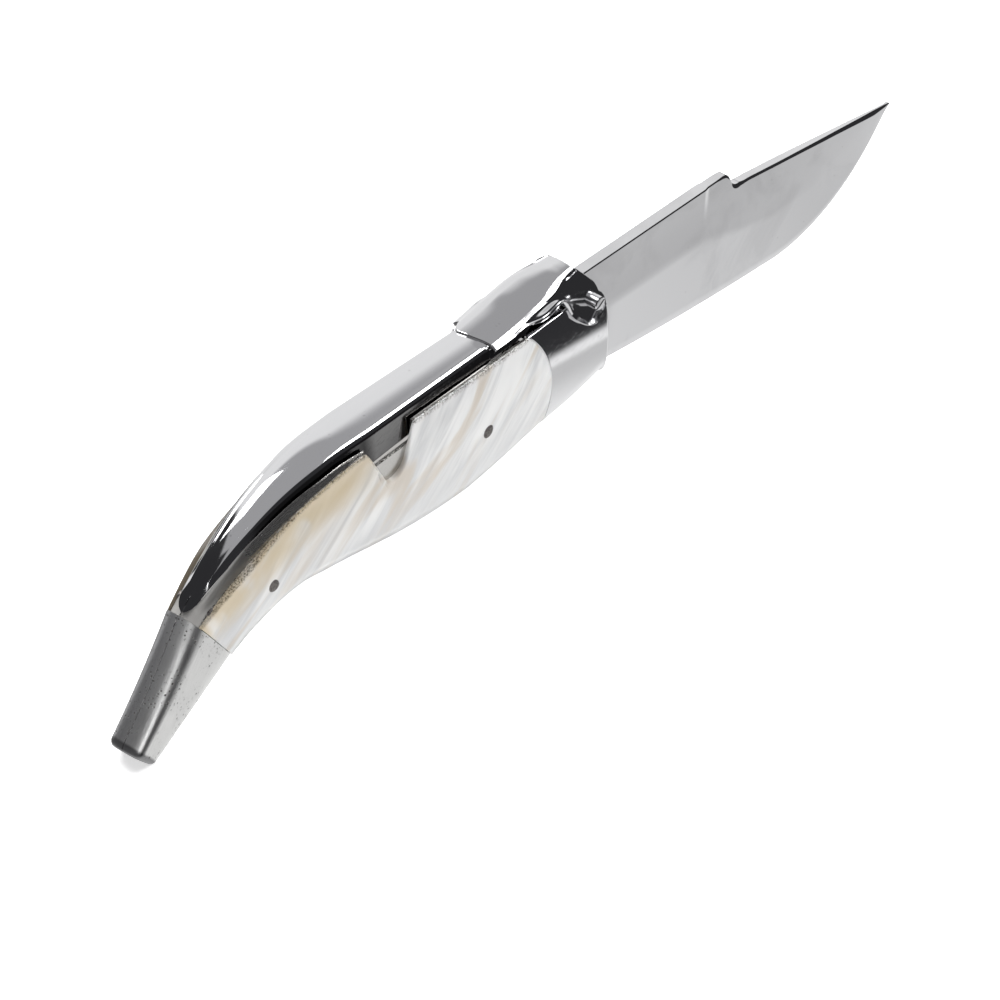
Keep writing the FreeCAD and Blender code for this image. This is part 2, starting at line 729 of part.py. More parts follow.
# Rear bolsters
rear_blank = plate("RearBlank", [rear_top, rear_low, butt_low, butt_top], {3: (tail_rise, -1)}, origin,
                   blank_depth)
rear_round = boolean("Common", "RearRound", rear_blank, rounding)
rear_tab = plate("RearTab", [
    (-(rear_low_back + lift_gap), -(lug_end_under + lift_gap * 2)),
    (-rear_tab_front_back, -(lug_end_under + lift_gap * 2)),
    (-rear_tab_front_back, -waist_drop),
    (-(rear_low_back + lift_gap), -waist_drop - lift_gap * 4),
    (-(rear_low_back + ear_radius), -waist_drop - lift_gap * 4),
    (-(rear_low_back + ear_radius), -(lug_end_under + lift_gap * 2)),
], {}, tail_slot_half, channel_half - seat_gap)
rear_with_tab = boolean("Fuse", "RearWithTab", rear_round, rear_tab)
tip_slot = plate("TipSlot", [
    (-rear_tab_front_back, -rear_top_drop),
    (-(rear_top_back + lift_gap), -(rear_top_drop + tip_slot_drop)),
    (-(tail_rivet_back - rivet_radius * 2), -(tail_rivet_drop - rivet_radius * 2)),
    (-(tail_rivet_back - rivet_radius * 2), -(butt_low_drop + rivet_radius)),
    (-rear_tab_front_back, -(butt_low_drop + rivet_radius)),
], {}, -tail_slot_half, tail_slot_half)
tail_pocket = plate("TailPocket", [
    (-spring_step_back, blank_depth),
    (-(spring_tail_back + lift_gap * 2), blank_depth),
    (-(spring_tail_back + lift_gap * 2), -spring_tail_drop),
    (-(lug_end_back + lift_gap * 2), -(lug_end_under + lift_gap)),
    (-spring_step_back, -(lug_end_under + lift_gap)),
], {}, -channel_half, channel_half)
tail_rivet_hole = through_pin("TailRivetHole", tail_rivet_axis[0], tail_rivet_axis[1],
                              tail_rivet_reach + seat_gap, rivet_radius + seat_gap)
left_rear = finish(cut_all("Rear", rear_with_tab, [tip_slot, tail_pocket, tail_rivet_hole]),
                   "left_rear_bolster")
finish_mirror(left_rear, "right_rear_bolster")
tail_rivet = through_pin("TailRivet", tail_rivet_axis[0], tail_rivet_axis[1], tail_rivet_reach, rivet_radius)
finish_pin(tail_rivet, "tail_rivet", tail_rivet_axis[0], tail_rivet_reach, tail_rivet_axis[1])

# Lever over the spring's front end
ear_front = ear_radius - lever_pin_back
ear_low = -(lever_pin_drop + ear_radius)
lever_side = [
    (-lever_tail_back, lever_tail_top),
    (-lever_tail_back, lever_tail_low),
    (-arch_rear_back, lever_tail_low),
    (-arch_front_back, arch_top),
    (-ear_neck_back, -ear_neck_drop),
    (-lever_pin_back, ear_low),
    (ear_front, -lever_pin_drop),
    (-lever_front_back, lever_front_top),
    (-lever_hump_back, lever_hump_top),
]
lever_shell = plate("LeverShell", lever_side, {
    2: (lift_gap, 1),
    5: (quarter_rise(ear_radius), -1),
    7: (hump_rise, -1),
    8: (lever_roof_rise, 1),
}, -ear_outer, ear_outer)


def plan_outline(name, narrow, wide, low, height):
    body = new_body(name)
    sketch = new_sketch(body, "XY_Plane", name + "Outline", low)
    draw_outline(sketch, [
        (-(lever_tail_back + lift_gap), -narrow),
        (-flare_back, -wide),
        (front_x + ear_radius, -wide),
        (front_x + ear_radius, wide),
        (-flare_back, wide),
        (-(lever_tail_back + lift_gap), narrow),
    ])
    pad(body, sketch, height, name + "Pad")
    return body


lever_plan = plan_outline("LeverPlan", lever_tail_half, ear_outer, -blank_depth, blank_depth * 2)
hollow_plan = plan_outline("HollowPlan", lever_tail_half - lever_wall, ear_inner, -blank_depth,
                           blank_depth * 2)
hollow_side = plate("HollowSide", [
    (-(lever_tail_back + lift_gap), lever_tail_top - lever_roof),
    (-(lever_tail_back + lift_gap), -blank_depth),
    (front_x + ear_radius, -blank_depth),
    (front_x + ear_radius, lever_front_top - lever_roof),
    (-lever_front_back, lever_front_top - lever_roof),
    (-lever_hump_back, lever_hump_top - lever_roof),
], {4: (hump_rise, -1), 5: (lever_roof_rise, 1)}, -blank_depth, blank_depth)


def leaning_sides(name, top_half, foot_half, top, foot):
    """A bar along the lever whose sides lean in from the ears up to the roof."""
    return bar(name, [
        (-foot_half, -blank_depth),
        (foot_half, -blank_depth),
        (foot_half, foot),
        (top_half, top),
        (top_half, blank_depth),
        (-top_half, blank_depth),
        (-top_half, top),
        (-foot_half, foot),
    ], -(lever_tail_back + lift_gap), front_x + ear_radius)


lever_lean = leaning_sides("LeverLean", roof_half, ear_outer, lean_top, origin)
hollow_lean = leaning_sides("HollowLean", roof_half - lever_wall, ear_inner, lean_top - lever_roof,
                            -side_gap)
lever_flared = boolean("Common", "LeverFlared", lever_shell, lever_plan)
lever_solid = boolean("Common", "LeverSolid", lever_flared, lever_lean)
hollow_flared = boolean("Common", "HollowFlared", hollow_side, hollow_plan)
lever_hollow = boolean("Common", "LeverHollow", hollow_flared, hollow_lean)
lever_open = boolean("Cut", "LeverOpen", lever_solid, lever_hollow)
lever_bore = through_pin("LeverBore", lever_axis[0], lever_axis[1], blank_depth,
                         lever_pin_radius + running_fit)
lift_axis = (-lift_pin_back, lift_pin_up)
lift_reach = ear_inner
lift_hole = through_pin("LiftHole", lift_axis[0], lift_axis[1], lift_reach + seat_gap,
                        lift_pin_radius + seat_gap)
finish(cut_all("Lever", lever_open, [lever_bore, lift_hole]), "lock_lever")
lift_pin = through_pin("LiftPin", lift_axis[0], lift_axis[1], lift_reach, lift_pin_radius)
finish_pin(lift_pin, "lift_pin", lift_axis[0], lift_reach, lift_axis[1])

# Lever pin with a slot across each end
lever_rod = through_pin("LeverRod", lever_axis[0], lever_axis[1], pin_reach, lever_pin_radius)
slot_corners = [
    (lever_axis[0] - lever_pin_radius * 2, lever_axis[1] - slot_width / 2),
    (lever_axis[0] + lever_pin_radius * 2, lever_axis[1] - slot_width / 2),
    (lever_axis[0] + lever_pin_radius * 2, lever_axis[1] + slot_width / 2),
    (lever_axis[0] - lever_pin_radius * 2, lever_axis[1] + slot_width / 2),
]
left_slot = plate("LeftSlot", slot_corners, {}, pin_reach - slot_depth, pin_reach + slot_depth)
right_slot = mirrored("RightSlot", left_slot)
finish(cut_all("LeverPin", lever_rod, [left_slot, right_slot]), "lever_pin")

doc.recompute()

# Check every object before writing the pieces
for item in doc.Objects:
    if "Invalid" in item.State or "Error" in item.State:
        raise RuntimeError("object not built: %s %s" % (item.Name, item.State))
os.makedirs("parts", exist_ok=True)
for item in built:
    if item.Shape.isNull() or not item.Shape.isValid() or not item.Shape.Solids:
        raise RuntimeError("bad shape: %s" % item.Label)
    item.Shape.exportStep("parts/%s.step" % item.Label)
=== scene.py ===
"""Looks of the folding knife: its visible pieces, their finishes, the studio and the camera."""

import logging
import math
from dataclasses import dataclass
from enum import Enum
from typing import Any, Callable, Optional, Sequence

import bmesh
import bpy
import numpy as np
from mathutils import Euler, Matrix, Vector


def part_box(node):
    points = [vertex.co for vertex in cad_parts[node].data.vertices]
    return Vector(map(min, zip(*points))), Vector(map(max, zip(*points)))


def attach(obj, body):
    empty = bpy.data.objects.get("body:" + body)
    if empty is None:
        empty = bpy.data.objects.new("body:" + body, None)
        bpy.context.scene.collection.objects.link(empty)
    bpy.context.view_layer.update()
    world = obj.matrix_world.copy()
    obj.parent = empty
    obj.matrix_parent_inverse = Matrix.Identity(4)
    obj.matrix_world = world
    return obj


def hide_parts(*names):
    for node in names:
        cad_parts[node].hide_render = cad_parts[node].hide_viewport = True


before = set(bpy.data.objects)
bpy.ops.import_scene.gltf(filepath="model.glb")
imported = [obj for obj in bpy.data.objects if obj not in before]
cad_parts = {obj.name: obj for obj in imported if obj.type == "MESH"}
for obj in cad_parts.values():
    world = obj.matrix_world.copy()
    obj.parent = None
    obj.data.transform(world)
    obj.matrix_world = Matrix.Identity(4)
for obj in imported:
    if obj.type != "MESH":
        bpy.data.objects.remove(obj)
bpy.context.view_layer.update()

log = logging.getLogger("knife")
logging.basicConfig(level=logging.INFO, format="%(name)s: %(message)s")

MM = 0.001
WELD = 1e-7
RIM_STEPS = (0.05, 0.12, 0.25, 0.5)
CREASE_DEG = 32.0
PLATE_CREASE_DEG = 40.0
Pair = tuple[float, float]
Triple = tuple[float, float, float]
Mesh = tuple[np.ndarray, list[list[int]]]


class Body(Enum):
    """The bodies that a piece can ride on."""

    HANDLE = "handle"
    BLADE = "blade"
    SPRING = "spring"
    LEVER = "lever"


class Side(Enum):
    """The two sides of the handle, with the sign of their depth."""

    LEFT = -1
    RIGHT = 1

    @property
    def word(self) -> str:
        """The side's name as the nodes have it."""
        return self.name.lower()


# Shader maths


class Field:
    """A number that changes over a surface, with arithmetic that adds Math nodes."""

    def __init__(self, paint: "Paint", socket: bpy.types.NodeSocket) -> None:
        """Wrap a socket of a paint's node tree."""
        self.paint = paint
        self.socket = socket

    def _math(self, operation: str, first: Any, second: Any) -> "Field":
        """Join two values by one Math node."""
        return self.paint.value("ShaderNodeMath", {"operation": operation}, {0: first, 1: second})

    def __add__(self, other: Any) -> "Field":
        """Add a value."""
        return self._math("ADD", self, other)

    __radd__ = __add__

    def __sub__(self, other: Any) -> "Field":
        """Take a value away."""
        return self._math("SUBTRACT", self, other)

    def __rsub__(self, other: Any) -> "Field":
        """Take this field from a value."""
        return self._math("SUBTRACT", other, self)

    def __mul__(self, other: Any) -> "Field":
        """Multiply by a value."""
        return self._math("MULTIPLY", self, other)

    __rmul__ = __mul__

    def __pow__(self, other: Any) -> "Field":
        """Raise to a power."""
        return self._math("POWER", self, other)

    def lesser(self, other: Any) -> "Field":
        """The lower of two values."""
        return self._math("MINIMUM", self, other)

    def greater(self, other: Any) -> "Field":
        """The higher of two values."""
        return self._math("MAXIMUM", self, other)

    def step(self, low: float, high: float) -> "Field":
        """A smooth step from 0 at low to 1 at high.

        Args:
            low: value that gives 0.
            high: value that gives 1; it may be the lower of the two.

        Returns:
            The stepped field.
        """
        return self.paint.value(
            "ShaderNodeMapRange", {"interpolation_type": "SMOOTHSTEP"},
            {"Value": self, "From Min": low, "From Max": high})


class Sheet:
    """A node tree under construction."""

    def __init__(self, tree: bpy.types.NodeTree) -> None:
        """Start with an empty tree."""
        self.tree = tree
        self.tree.nodes.clear()

    def node(self, kind: str, settings: dict[str, Any], sockets: dict[Any, Any]) -> bpy.types.Node:
        """Add any node.

        Args:
            kind: the node's type.
            settings: properties to set first.
            sockets: values, fields or links for its inputs, by name or number.

        Returns:
            The new node.
        """
        node = self.tree.nodes.new(kind)
        for name, value in settings.items():
            setattr(node, name, value)
        for name, value in sockets.items():
            source = value.socket if isinstance(value, Field) else value
            if isinstance(source, bpy.types.NodeSocket):
                self.tree.links.new(source, node.inputs[name])
            else:
                node.inputs[name].default_value = source
        return node

    def value(self, kind: str, settings: dict[str, Any], sockets: dict[Any, Any]) -> Field:
        """Add a node and wrap its first output as a field."""
        return Field(self, self.node(kind, settings, sockets).outputs[0])

    def parts(self, vector: bpy.types.NodeSocket) -> tuple[Field, Field, Field]:
        """The x, y and z of a vector."""
        split = self.node("ShaderNodeSeparateXYZ", {}, {0: vector})
        return Field(self, split.outputs[0]), Field(self, split.outputs[1]), Field(self, split.outputs[2])

    def blend(self, first: Any, second: Any, share: Any) -> bpy.types.NodeSocket:
        """Mix two colours.

        Args:
            first: colour where share is 0.
            second: colour where share is 1.
            share: number or field.

        Returns:
            The mixed colour.
        """
        mix = self.node("ShaderNodeMix", {"data_type": "RGBA"}, {0: share})
        for socket, colour in ((mix.inputs[6], first), (mix.inputs[7], second)):
            if isinstance(colour, bpy.types.NodeSocket):
                self.tree.links.new(colour, socket)
            else:
                socket.default_value = (*colour, 1.0)
        return mix.outputs[2]


class Paint(Sheet):
    """A material under construction."""

    def __init__(self, name: str) -> None:
        """Start an empty node material.

        Args:
            name: the material's name.
        """
        self.material = bpy.data.materials.new(name)
        self.material.use_nodes = True
        super().__init__(self.material.node_tree)
        where = self.node("ShaderNodeTexCoord", {}, {})
        self.place = self.node("ShaderNodeVectorMath", {"operation": "SCALE"},
                               {0: where.outputs["Object"], "Scale": 1 / MM}).outputs[0]

    def stretched(self, turn_deg: float, along: float, across: float) -> bpy.types.NodeSocket:
        """Coordinates turned in the side view and stretched along one way.

        Args:
            turn_deg: the way's slope, upwards from the handle's length.
            along: scale along the way, in waves per millimetre.
            across: scale across it.

        Returns:
            The vector to give to a texture.
        """
        turned = self.node("ShaderNodeVectorRotate", {"rotation_type": "Y_AXIS"},
                           {"Vector": self.place, "Angle": math.radians(turn_deg)})
        return self.node("ShaderNodeVectorMath", {"operation": "MULTIPLY"},
                         {0: turned.outputs[0], 1: (along, across, across)}).outputs[0]

    def noise(self, scale: float, detail: float = 3.0, rough: float = 0.55, warp: float = 0.0,
              vector: Optional[bpy.types.NodeSocket] = None) -> Field:
        """Cloudy noise from about 0 to 1.

        Args:
            scale: waves per millimetre.
            detail: octaves of finer noise.
            rough: strength of the finer noise.
            warp: how far the noise bends itself.
            vector: coordinates, the piece's own by default.

        Returns:
            The noise as a field.
        """
        return self.value("ShaderNodeTexNoise", {}, {
            "Vector": vector or self.place, "Scale": scale, "Detail": detail, "Roughness": rough,
            "Distortion": warp})

    def spots(self, scale: float, size: float) -> Field:
        """Round spots, 1 inside and 0 outside.

        Args:
            scale: cells per millimetre, with a spot in each.
            size: a spot's radius as a share of its cell.

        Returns:
            The spots as a field.
        """
        cells = self.value("ShaderNodeTexVoronoi", {}, {
            "Vector": self.place, "Scale": scale, "Randomness": 1.0})
        return cells.step(size, size * 0.5)

    def facing(self, axis: str) -> Field:
        """One part of the surface's direction.

        Args:
            axis: x, y or z.

        Returns:
            The part as a field, from -1 to 1.
        """
        shape = self.node("ShaderNodeNewGeometry", {}, {})
        turned = self.node("ShaderNodeVectorTransform",
                           {"vector_type": "NORMAL", "convert_from": "WORLD", "convert_to": "OBJECT"},
                           {0: shape.outputs["Normal"]})
        return self.parts(turned.outputs[0])["xyz".index(axis)]

    def bump(self, height: Field, depth_mm: float) -> bpy.types.NodeSocket:
        """Relief from a height field.

        Args:
            height: field from 0 to 1.
            depth_mm: height of the relief.

        Returns:
            The bent surface direction.
        """
        return self.node("ShaderNodeBump", {}, {
            "Strength": 1.0, "Distance": depth_mm * MM, "Height": height}).outputs[0]

    def close(self, **sockets: Any) -> bpy.types.Material:
        """Add the surface shader and the output.

        Args:
            **sockets: shader inputs, with spaces in their names written as underscores.

        Returns:
            The finished material.
        """
        named = {name.replace("_", " "): value for name, value in sockets.items()}
        shader = self.node("ShaderNodeBsdfPrincipled", {}, named)
        self.node("ShaderNodeOutputMaterial", {}, {"Surface": shader.outputs[0]})
        return self.material


# Finishes


@dataclass(frozen=True)
class PolishedSteel:
    """Hand-polished steel with fine scratches, faint haze and small pits; it can also carry painted shade on
    walls that face sideways.
    """

    name: str
    colour: Triple = (0.55, 0.55, 0.56)
    gloss: float = 0.05
    scratches: float = 0.05
    pits: float = 0.10
    relief: float = 0.006
    # Strength and colour of painted shade on walls that face sideways, standing in for a dark reflection.
    side_shade: float = 0.0
    side_shade_colour: Triple = (0.05, 0.048, 0.045)

    def material(self) -> bpy.types.Material:
        """Mix the finish.

        Returns:
            The material.
        """
        paint = Paint(self.name)
        lines = paint.noise(1.0, 2.0, 0.6, 0.0, paint.stretched(17.0, 0.12, 9.0)).step(0.60, 0.72)
        cross = paint.noise(1.0, 2.0, 0.6, 0.0, paint.stretched(-48.0, 0.10, 7.0)).step(0.66, 0.74)
        haze = paint.noise(0.16, 4.0, 0.6)
        pits = paint.spots(0.55, 0.16) * paint.noise(0.09, 2.0).step(0.50, 0.66)
        marks = (lines + cross) * self.scratches
        colour = paint.blend(self.colour, tuple(0.62 * c for c in self.colour), pits * self.pits * 5)
        # Painted shade: walls facing the handle's sides are darkened, standing in for a dark reflection.
        if self.side_shade:
            side = paint.facing("y")
            colour = paint.blend(colour, self.side_shade_colour, (side * side).step(0.80, 0.95) * self.side_shade)
        relief = (1 - pits) * 0.7 + (1 - lines) * 0.15 + haze * 0.1
        return paint.close(
            Base_Color=colour, Metallic=1.0,
            Roughness=self.gloss + marks + haze * 0.04 + pits * 0.2,
            Normal=paint.bump(relief, self.relief))


@dataclass(frozen=True)
class SatinSteel:
    """Ground blade steel: fine lines up the blade and soft smudges."""

    name: str
    colour: Triple = (0.53, 0.53, 0.54)
    spot_colour: Triple = (0.12, 0.11, 0.10)
    gloss: float = 0.06

    def material(self) -> bpy.types.Material:
        """Mix the finish.

        Returns:
            The material.
        """
        paint = Paint(self.name)
        lines = paint.noise(1.0, 3.0, 0.6, 0.0, paint.stretched(83.0, 0.10, 6.0))
        smudge = paint.noise(0.07, 4.0, 0.55, 0.6)
        spots = paint.spots(0.30, 0.035)
        smudge_and_shade_tone = tuple(0.9 * c for c in self.colour)
        colour = paint.blend(self.colour, smudge_and_shade_tone, smudge.step(0.46, 0.70))
        colour = paint.blend(colour, self.spot_colour, spots * 0.8)
        return paint.close(
            Base_Color=colour, Metallic=1.0,
            Roughness=self.gloss + (lines - 0.5) * 0.06 + smudge * 0.06,
            Normal=paint.bump(lines, 0.001))


@dataclass(frozen=True)
class CastMetal:
    """Rough cast white metal, filed smooth, with pits, file marks, grey dirt, a tarnished end and painted
    shade that darkens the back towards the far side.
    """

    name: str
    colour: Triple = (0.76, 0.76, 0.75)
    # Colour of the painted shade on the far side of the back.
    smudge_and_shade_tone: Triple = (0.42, 0.42, 0.43)
    tarnish: Triple = (0.15, 0.15, 0.155)
    dirt: Triple = (0.10, 0.095, 0.085)
    gloss: float = 0.31
    dirty: float = 0.6
    # Where the painted shade starts and where it stops on the far side's outer wall.
    far_shade_sides: Pair = (-3.2, 2.6)
    far_shade_stop: Pair = (3.3, 3.6)
    end_way: Pair = (-0.743, -0.669)
    end_reach: Pair = (74.1, 74.7)

    def material(self) -> bpy.types.Material:
        """Mix the finish.

        Returns:
            The material.
        """
        paint = Paint(self.name)
        grain = paint.noise(1.6, 5.0, 0.68)
        cloud = paint.noise(0.14, 4.0, 0.6, 0.5)
        files = paint.noise(1.0, 3.0, 0.6, 0.0, paint.stretched(58.0, 0.16, 3.6))
        pits = paint.spots(1.1, 0.26) * cloud.step(0.42, 0.58)
        soil = grain.step(0.56, 0.70) * cloud.step(0.36, 0.62) * self.dirty + pits * 0.7
        x, y, z = paint.parts(paint.place)
        # Painted shade: the back darkens from the near side towards the far side, and the far side's outer
        # wall is left bright.
        far_shade = y.step(*self.far_shade_sides) * (1 - y.step(*self.far_shade_stop))
        end = (x * self.end_way[0] + z * self.end_way[1] + (cloud - 0.5) * 0.6).step(*self.end_reach)
        colour = paint.blend(self.colour, self.smudge_and_shade_tone, far_shade)
        colour = paint.blend(colour, self.tarnish, end * 0.9)
        colour = paint.blend(colour, self.dirt, soil)
        relief = grain * 0.25 + files * 0.35 + (1 - pits) * 0.5
        return paint.close(
            Base_Color=colour, Metallic=1.0,
            Roughness=self.gloss + cloud * 0.14 + soil * 0.3 + (files - 0.5) * 0.15,
            Normal=paint.bump(relief, 0.06))


@dataclass(frozen=True)
class LinerMetal:
    """Sheet metal with a rough, dirty edge along the back."""

    name: str
    colour: Triple = (0.56, 0.55, 0.53)
    dirt: Triple = (0.045, 0.036, 0.028)
    rim_depth: float = 5.5
    rear_run: Pair = (-58.0, -92.0)
    rear_taper: float = 2.0
    front_run: Pair = (-30.0, -9.0)
    front_taper: float = 0.35
    tail_run: Pair = (-77.0, -86.0)
    tail_dull: float = 0.32

    def material(self) -> bpy.types.Material:
        """Mix the finish.

        Returns:
            The material.
        """
        paint = Paint(self.name)
        edge = paint.facing("z").step(0.35, 0.6)
        specks = paint.noise(3.2, 5.0, 0.75).step(0.40, 0.60)
        rolled = paint.noise(1.0, 2.0, 0.5, 0.0, paint.stretched(4.0, 0.1, 4.0))
        x, y, _ = paint.parts(paint.place)
        taper = x.step(*self.rear_run) * self.rear_taper
        rim_depth = self.rim_depth - taper - x.step(*self.front_run) * self.front_taper
        outside = ((y * y) ** 0.5 - rim_depth).step(-0.7, -0.25)
        soil = edge * specks * outside * y.step(1.0, -1.0)
        colour = paint.blend(self.colour, self.dirt, soil)
        return paint.close(
            Base_Color=colour, Metallic=0.95,
            Roughness=0.16 + rolled * 0.12 + soil * 0.5 + x.step(*self.tail_run) * self.tail_dull,
            Normal=paint.bump(soil + rolled * 0.1, 0.05))


@dataclass(frozen=True)
class PinMetal:
    """Dull brownish pin metal with turning marks."""

    name: str
    colour: Triple = (0.23, 0.21, 0.20)
    gloss: float = 0.38

    def material(self) -> bpy.types.Material:
        """Mix the finish.

        Returns:
            The material.
        """
        paint = Paint(self.name)
        grain = paint.noise(3.0, 4.0, 0.65)
        colour = paint.blend(self.colour, tuple(0.5 * c for c in self.colour), grain.step(0.42, 0.66))
        return paint.close(
            Base_Color=colour, Metallic=0.9, Roughness=self.gloss + grain * 0.2,
            Normal=paint.bump(grain, 0.02))


@dataclass(frozen=True)
class WasherBrass:
    """Rubbed brass with dark rings of oil."""

    name: str
    colour: Triple = (0.62, 0.44, 0.17)
    oil_colour: Triple = (0.16, 0.10, 0.04)

    def material(self) -> bpy.types.Material:
        """Mix the finish.

        Returns:
            The material.
        """
        paint = Paint(self.name)
        oil = paint.noise(0.8, 4.0, 0.6)
        colour = paint.blend(self.colour, self.oil_colour, oil.step(0.50, 0.75))
        return paint.close(
            Base_Color=colour, Metallic=1.0, Roughness=0.25 + oil * 0.25,
            Normal=paint.bump(oil, 0.01))


@dataclass(frozen=True)
class Pearl:
    """Mother-of-pearl sheet: feathered streaks of blue grey, white and beige under a clear polish, and
    painted blue grey shade towards the belly.
    """

    name: str
    cool: Triple = (0.60, 0.605, 0.61)
    white: Triple = (0.84, 0.84, 0.83)
    beige: Triple = (0.60, 0.52, 0.42)
    ochre: Triple = (0.60, 0.49, 0.31)
    dirt: Triple = (0.06, 0.045, 0.03)
    slope_deg: float = 41.0
    bend_x: float = -50.15
    back_z: float = 37.45
    back_fall: float = 0.0092
    ochre_run: Pair = (-44.0, -60.0)

    def material(self) -> bpy.types.Material:
        """Mix the finish.

        Returns:
            The material.
        """
        paint = Paint(self.name)
        fold = paint.noise(1.0, 3.0, 0.5, 1.3, paint.stretched(self.slope_deg, 0.022, 0.11))
        feather = paint.noise(1.0, 4.0, 0.55, 0.8, paint.stretched(self.slope_deg + 8, 0.03, 0.24))
        fibre = paint.noise(1.0, 3.0, 0.6, 0.3, paint.stretched(self.slope_deg + 4, 0.05, 0.8))
        cloud = paint.noise(0.05, 3.0, 0.5, 0.8)
        x, y, z = paint.parts(paint.place)
        behind = (x - self.bend_x).lesser(0.0)
        below = self.back_z - behind * behind * self.back_fall - z
        rear = x.step(*self.ochre_run)
        colour = paint.blend(self.cool, self.white, feather.step(0.30, 0.66))
        colour = paint.blend(colour, self.beige, fold.step(0.50, 0.68) * 0.7)
        colour = paint.blend(colour, self.white, fold.step(0.47, 0.40) * fibre.step(0.36, 0.64) * 0.5)
        colour = paint.blend(colour, self.ochre, rear * below.step(10.0, 3.0) * cloud.step(0.24, 0.44) * 0.85)
        # Painted shade: the scale turns blue grey further below the back edge, towards the belly.
        colour = paint.blend(colour, self.cool, (below - 12.0).step(0.0, 8.0) * 0.5)
        specks = paint.noise(3.0, 5.0, 0.75).step(0.42, 0.62)
        near_soil = below.step(1.2, 0.1) * specks * y.step(1.0, -1.0)
        soil = near_soil.greater(below.step(1.5, 1.0) * y.step(0.0, 0.5))
        colour = paint.blend(colour, self.dirt, soil * 0.9)
        return paint.close(
            Base_Color=colour, Roughness=0.30 + cloud * 0.10 + soil * 0.4,
            Coat_Weight=0.35, Coat_Roughness=0.12, Subsurface_Weight=0.12,
            Subsurface_Radius=(0.9, 0.8, 0.7), Subsurface_Scale=MM,
            Normal=paint.bump(fold * 0.7 + feather * 0.3, 0.05))


# Outlines and meshes


def bow(start: Pair, end: Pair, rise: float = 0.0, count: int = 16) -> np.ndarray:
    """Points of an arc in the side view.

    Args:
        start: first point.
        end: last point.
        rise: how far the middle stands to the left of the straight way; 0 gives a line.
        count: number of points.

    Returns:
        The points, one row each.
    """
    first, last = np.array(start, float), np.array(end, float)
    chord = last - first
    length = float(np.hypot(*chord))
    share = np.linspace(-1.0, 1.0, count)
    points = first + np.outer((share + 1) / 2, chord)
    if abs(rise) < 1e-9:
        return points
    radius = (length * length / 4 + rise * rise) / (2 * abs(rise))
    height = np.sqrt(radius * radius - (share * length / 2) ** 2) - (radius - abs(rise))
    left = np.array((-chord[1], chord[0])) / length
    return points + np.outer(height * math.copysign(1.0, rise), left)


def chain(*runs: np.ndarray) -> np.ndarray:
    """Join runs of points end to end, without the doubled ends."""
    return np.vstack([runs[0]] + [run[1:] for run in runs[1:]])


def share_of(points: np.ndarray) -> np.ndarray:
    """How far along a line each of its points is.

    Args:
        points: the line's points.

    Returns:
        A share from 0 to 1 for each point.
    """
    steps = np.hypot(*np.diff(points, axis=0).T)
    way = np.concatenate([[0.0], np.cumsum(steps)])
    return way / way[-1]


def along(points: np.ndarray, shares: np.ndarray) -> np.ndarray:
    """Points of a line at the given shares of its length."""
    own = share_of(points)
    return np.stack([np.interp(shares, own, points[:, axis]) for axis in range(points.shape[1])], 1)


def away_from(points: np.ndarray, line: np.ndarray) -> np.ndarray:
    """Distance of each point from a line of straight runs.

    Args:
        points: array of shape (..., 2).
        line: the line's points.

    Returns:
        Array of shape (...).
    """
    nearest = np.full(points.shape[:-1], np.inf)
    for start, end in zip(line[:-1], line[1:]):
        run = end - start
        squared = max(float(run @ run), 1e-12)
        share = np.clip(((points - start) @ run) / squared, 0.0, 1.0)
        nearest = np.minimum(nearest, np.linalg.norm(points - (start + share[..., None] * run), axis=-1))
    return nearest


def roll_off(distance: np.ndarray, radius: float) -> np.ndarray:
    """How far a rounded rim falls at a distance from its edge."""
    inside = np.clip(radius - distance, 0.0, radius)
    return radius - np.sqrt(np.maximum(radius * radius - inside * inside, 0.0))


def curve_through(points: Sequence[Any], count: int) -> np.ndarray:
    """A smooth line through a few points.

    Args:
        points: the points that it passes.
        count: number of points to give back.

    Returns:
        The line's points.
    """
    knots = np.array(points, float)
    padded = np.vstack([2 * knots[0] - knots[1], knots, 2 * knots[-1] - knots[-2]])
    shares = np.linspace(0.0, len(knots) - 1.0, count)
    found = []
    for share in shares:
        index = min(int(share), len(knots) - 2)
        t = share - index
        a, b, c, d = padded[index:index + 4]
        found.append(0.5 * (2 * b + (c - a) * t + (2 * a - 5 * b + 4 * c - d) * t * t
                            + (3 * b - a - 3 * c + d) * t ** 3))
    return np.array(found)


def graded(count: int, fine: float, ends: Sequence[float]) -> np.ndarray:
    """Shares from 0 to 1 with extra ones close to both ends.

    Args:
        count: number of even steps in the middle.
        fine: length in the same unit as ends that a share of 1 stands for.
        ends: distances from each end that get a share of their own.

    Returns:
        The shares in order.
    """
    near = np.array(ends) / fine
    middle = np.linspace(0.0, 1.0, count + 1)
    middle = middle[(middle > near[-1] * 1.3) & (middle < 1 - near[-1] * 1.3)]
    return np.concatenate([[0.0], near, middle, 1 - near[::-1], [1.0]])


@dataclass(frozen=True)
class Datum:
    """The point that all sizes are measured from: where the blade's back leaves the lever."""

    tip_x: float = 92.9

    @property
    def origin(self) -> np.ndarray:
        """The point in the shared frame, in millimetres."""
        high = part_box("blade")[1]
        return np.array((high.x / MM - self.tip_x, 0.0, high.z / MM))


DATUM = Datum()


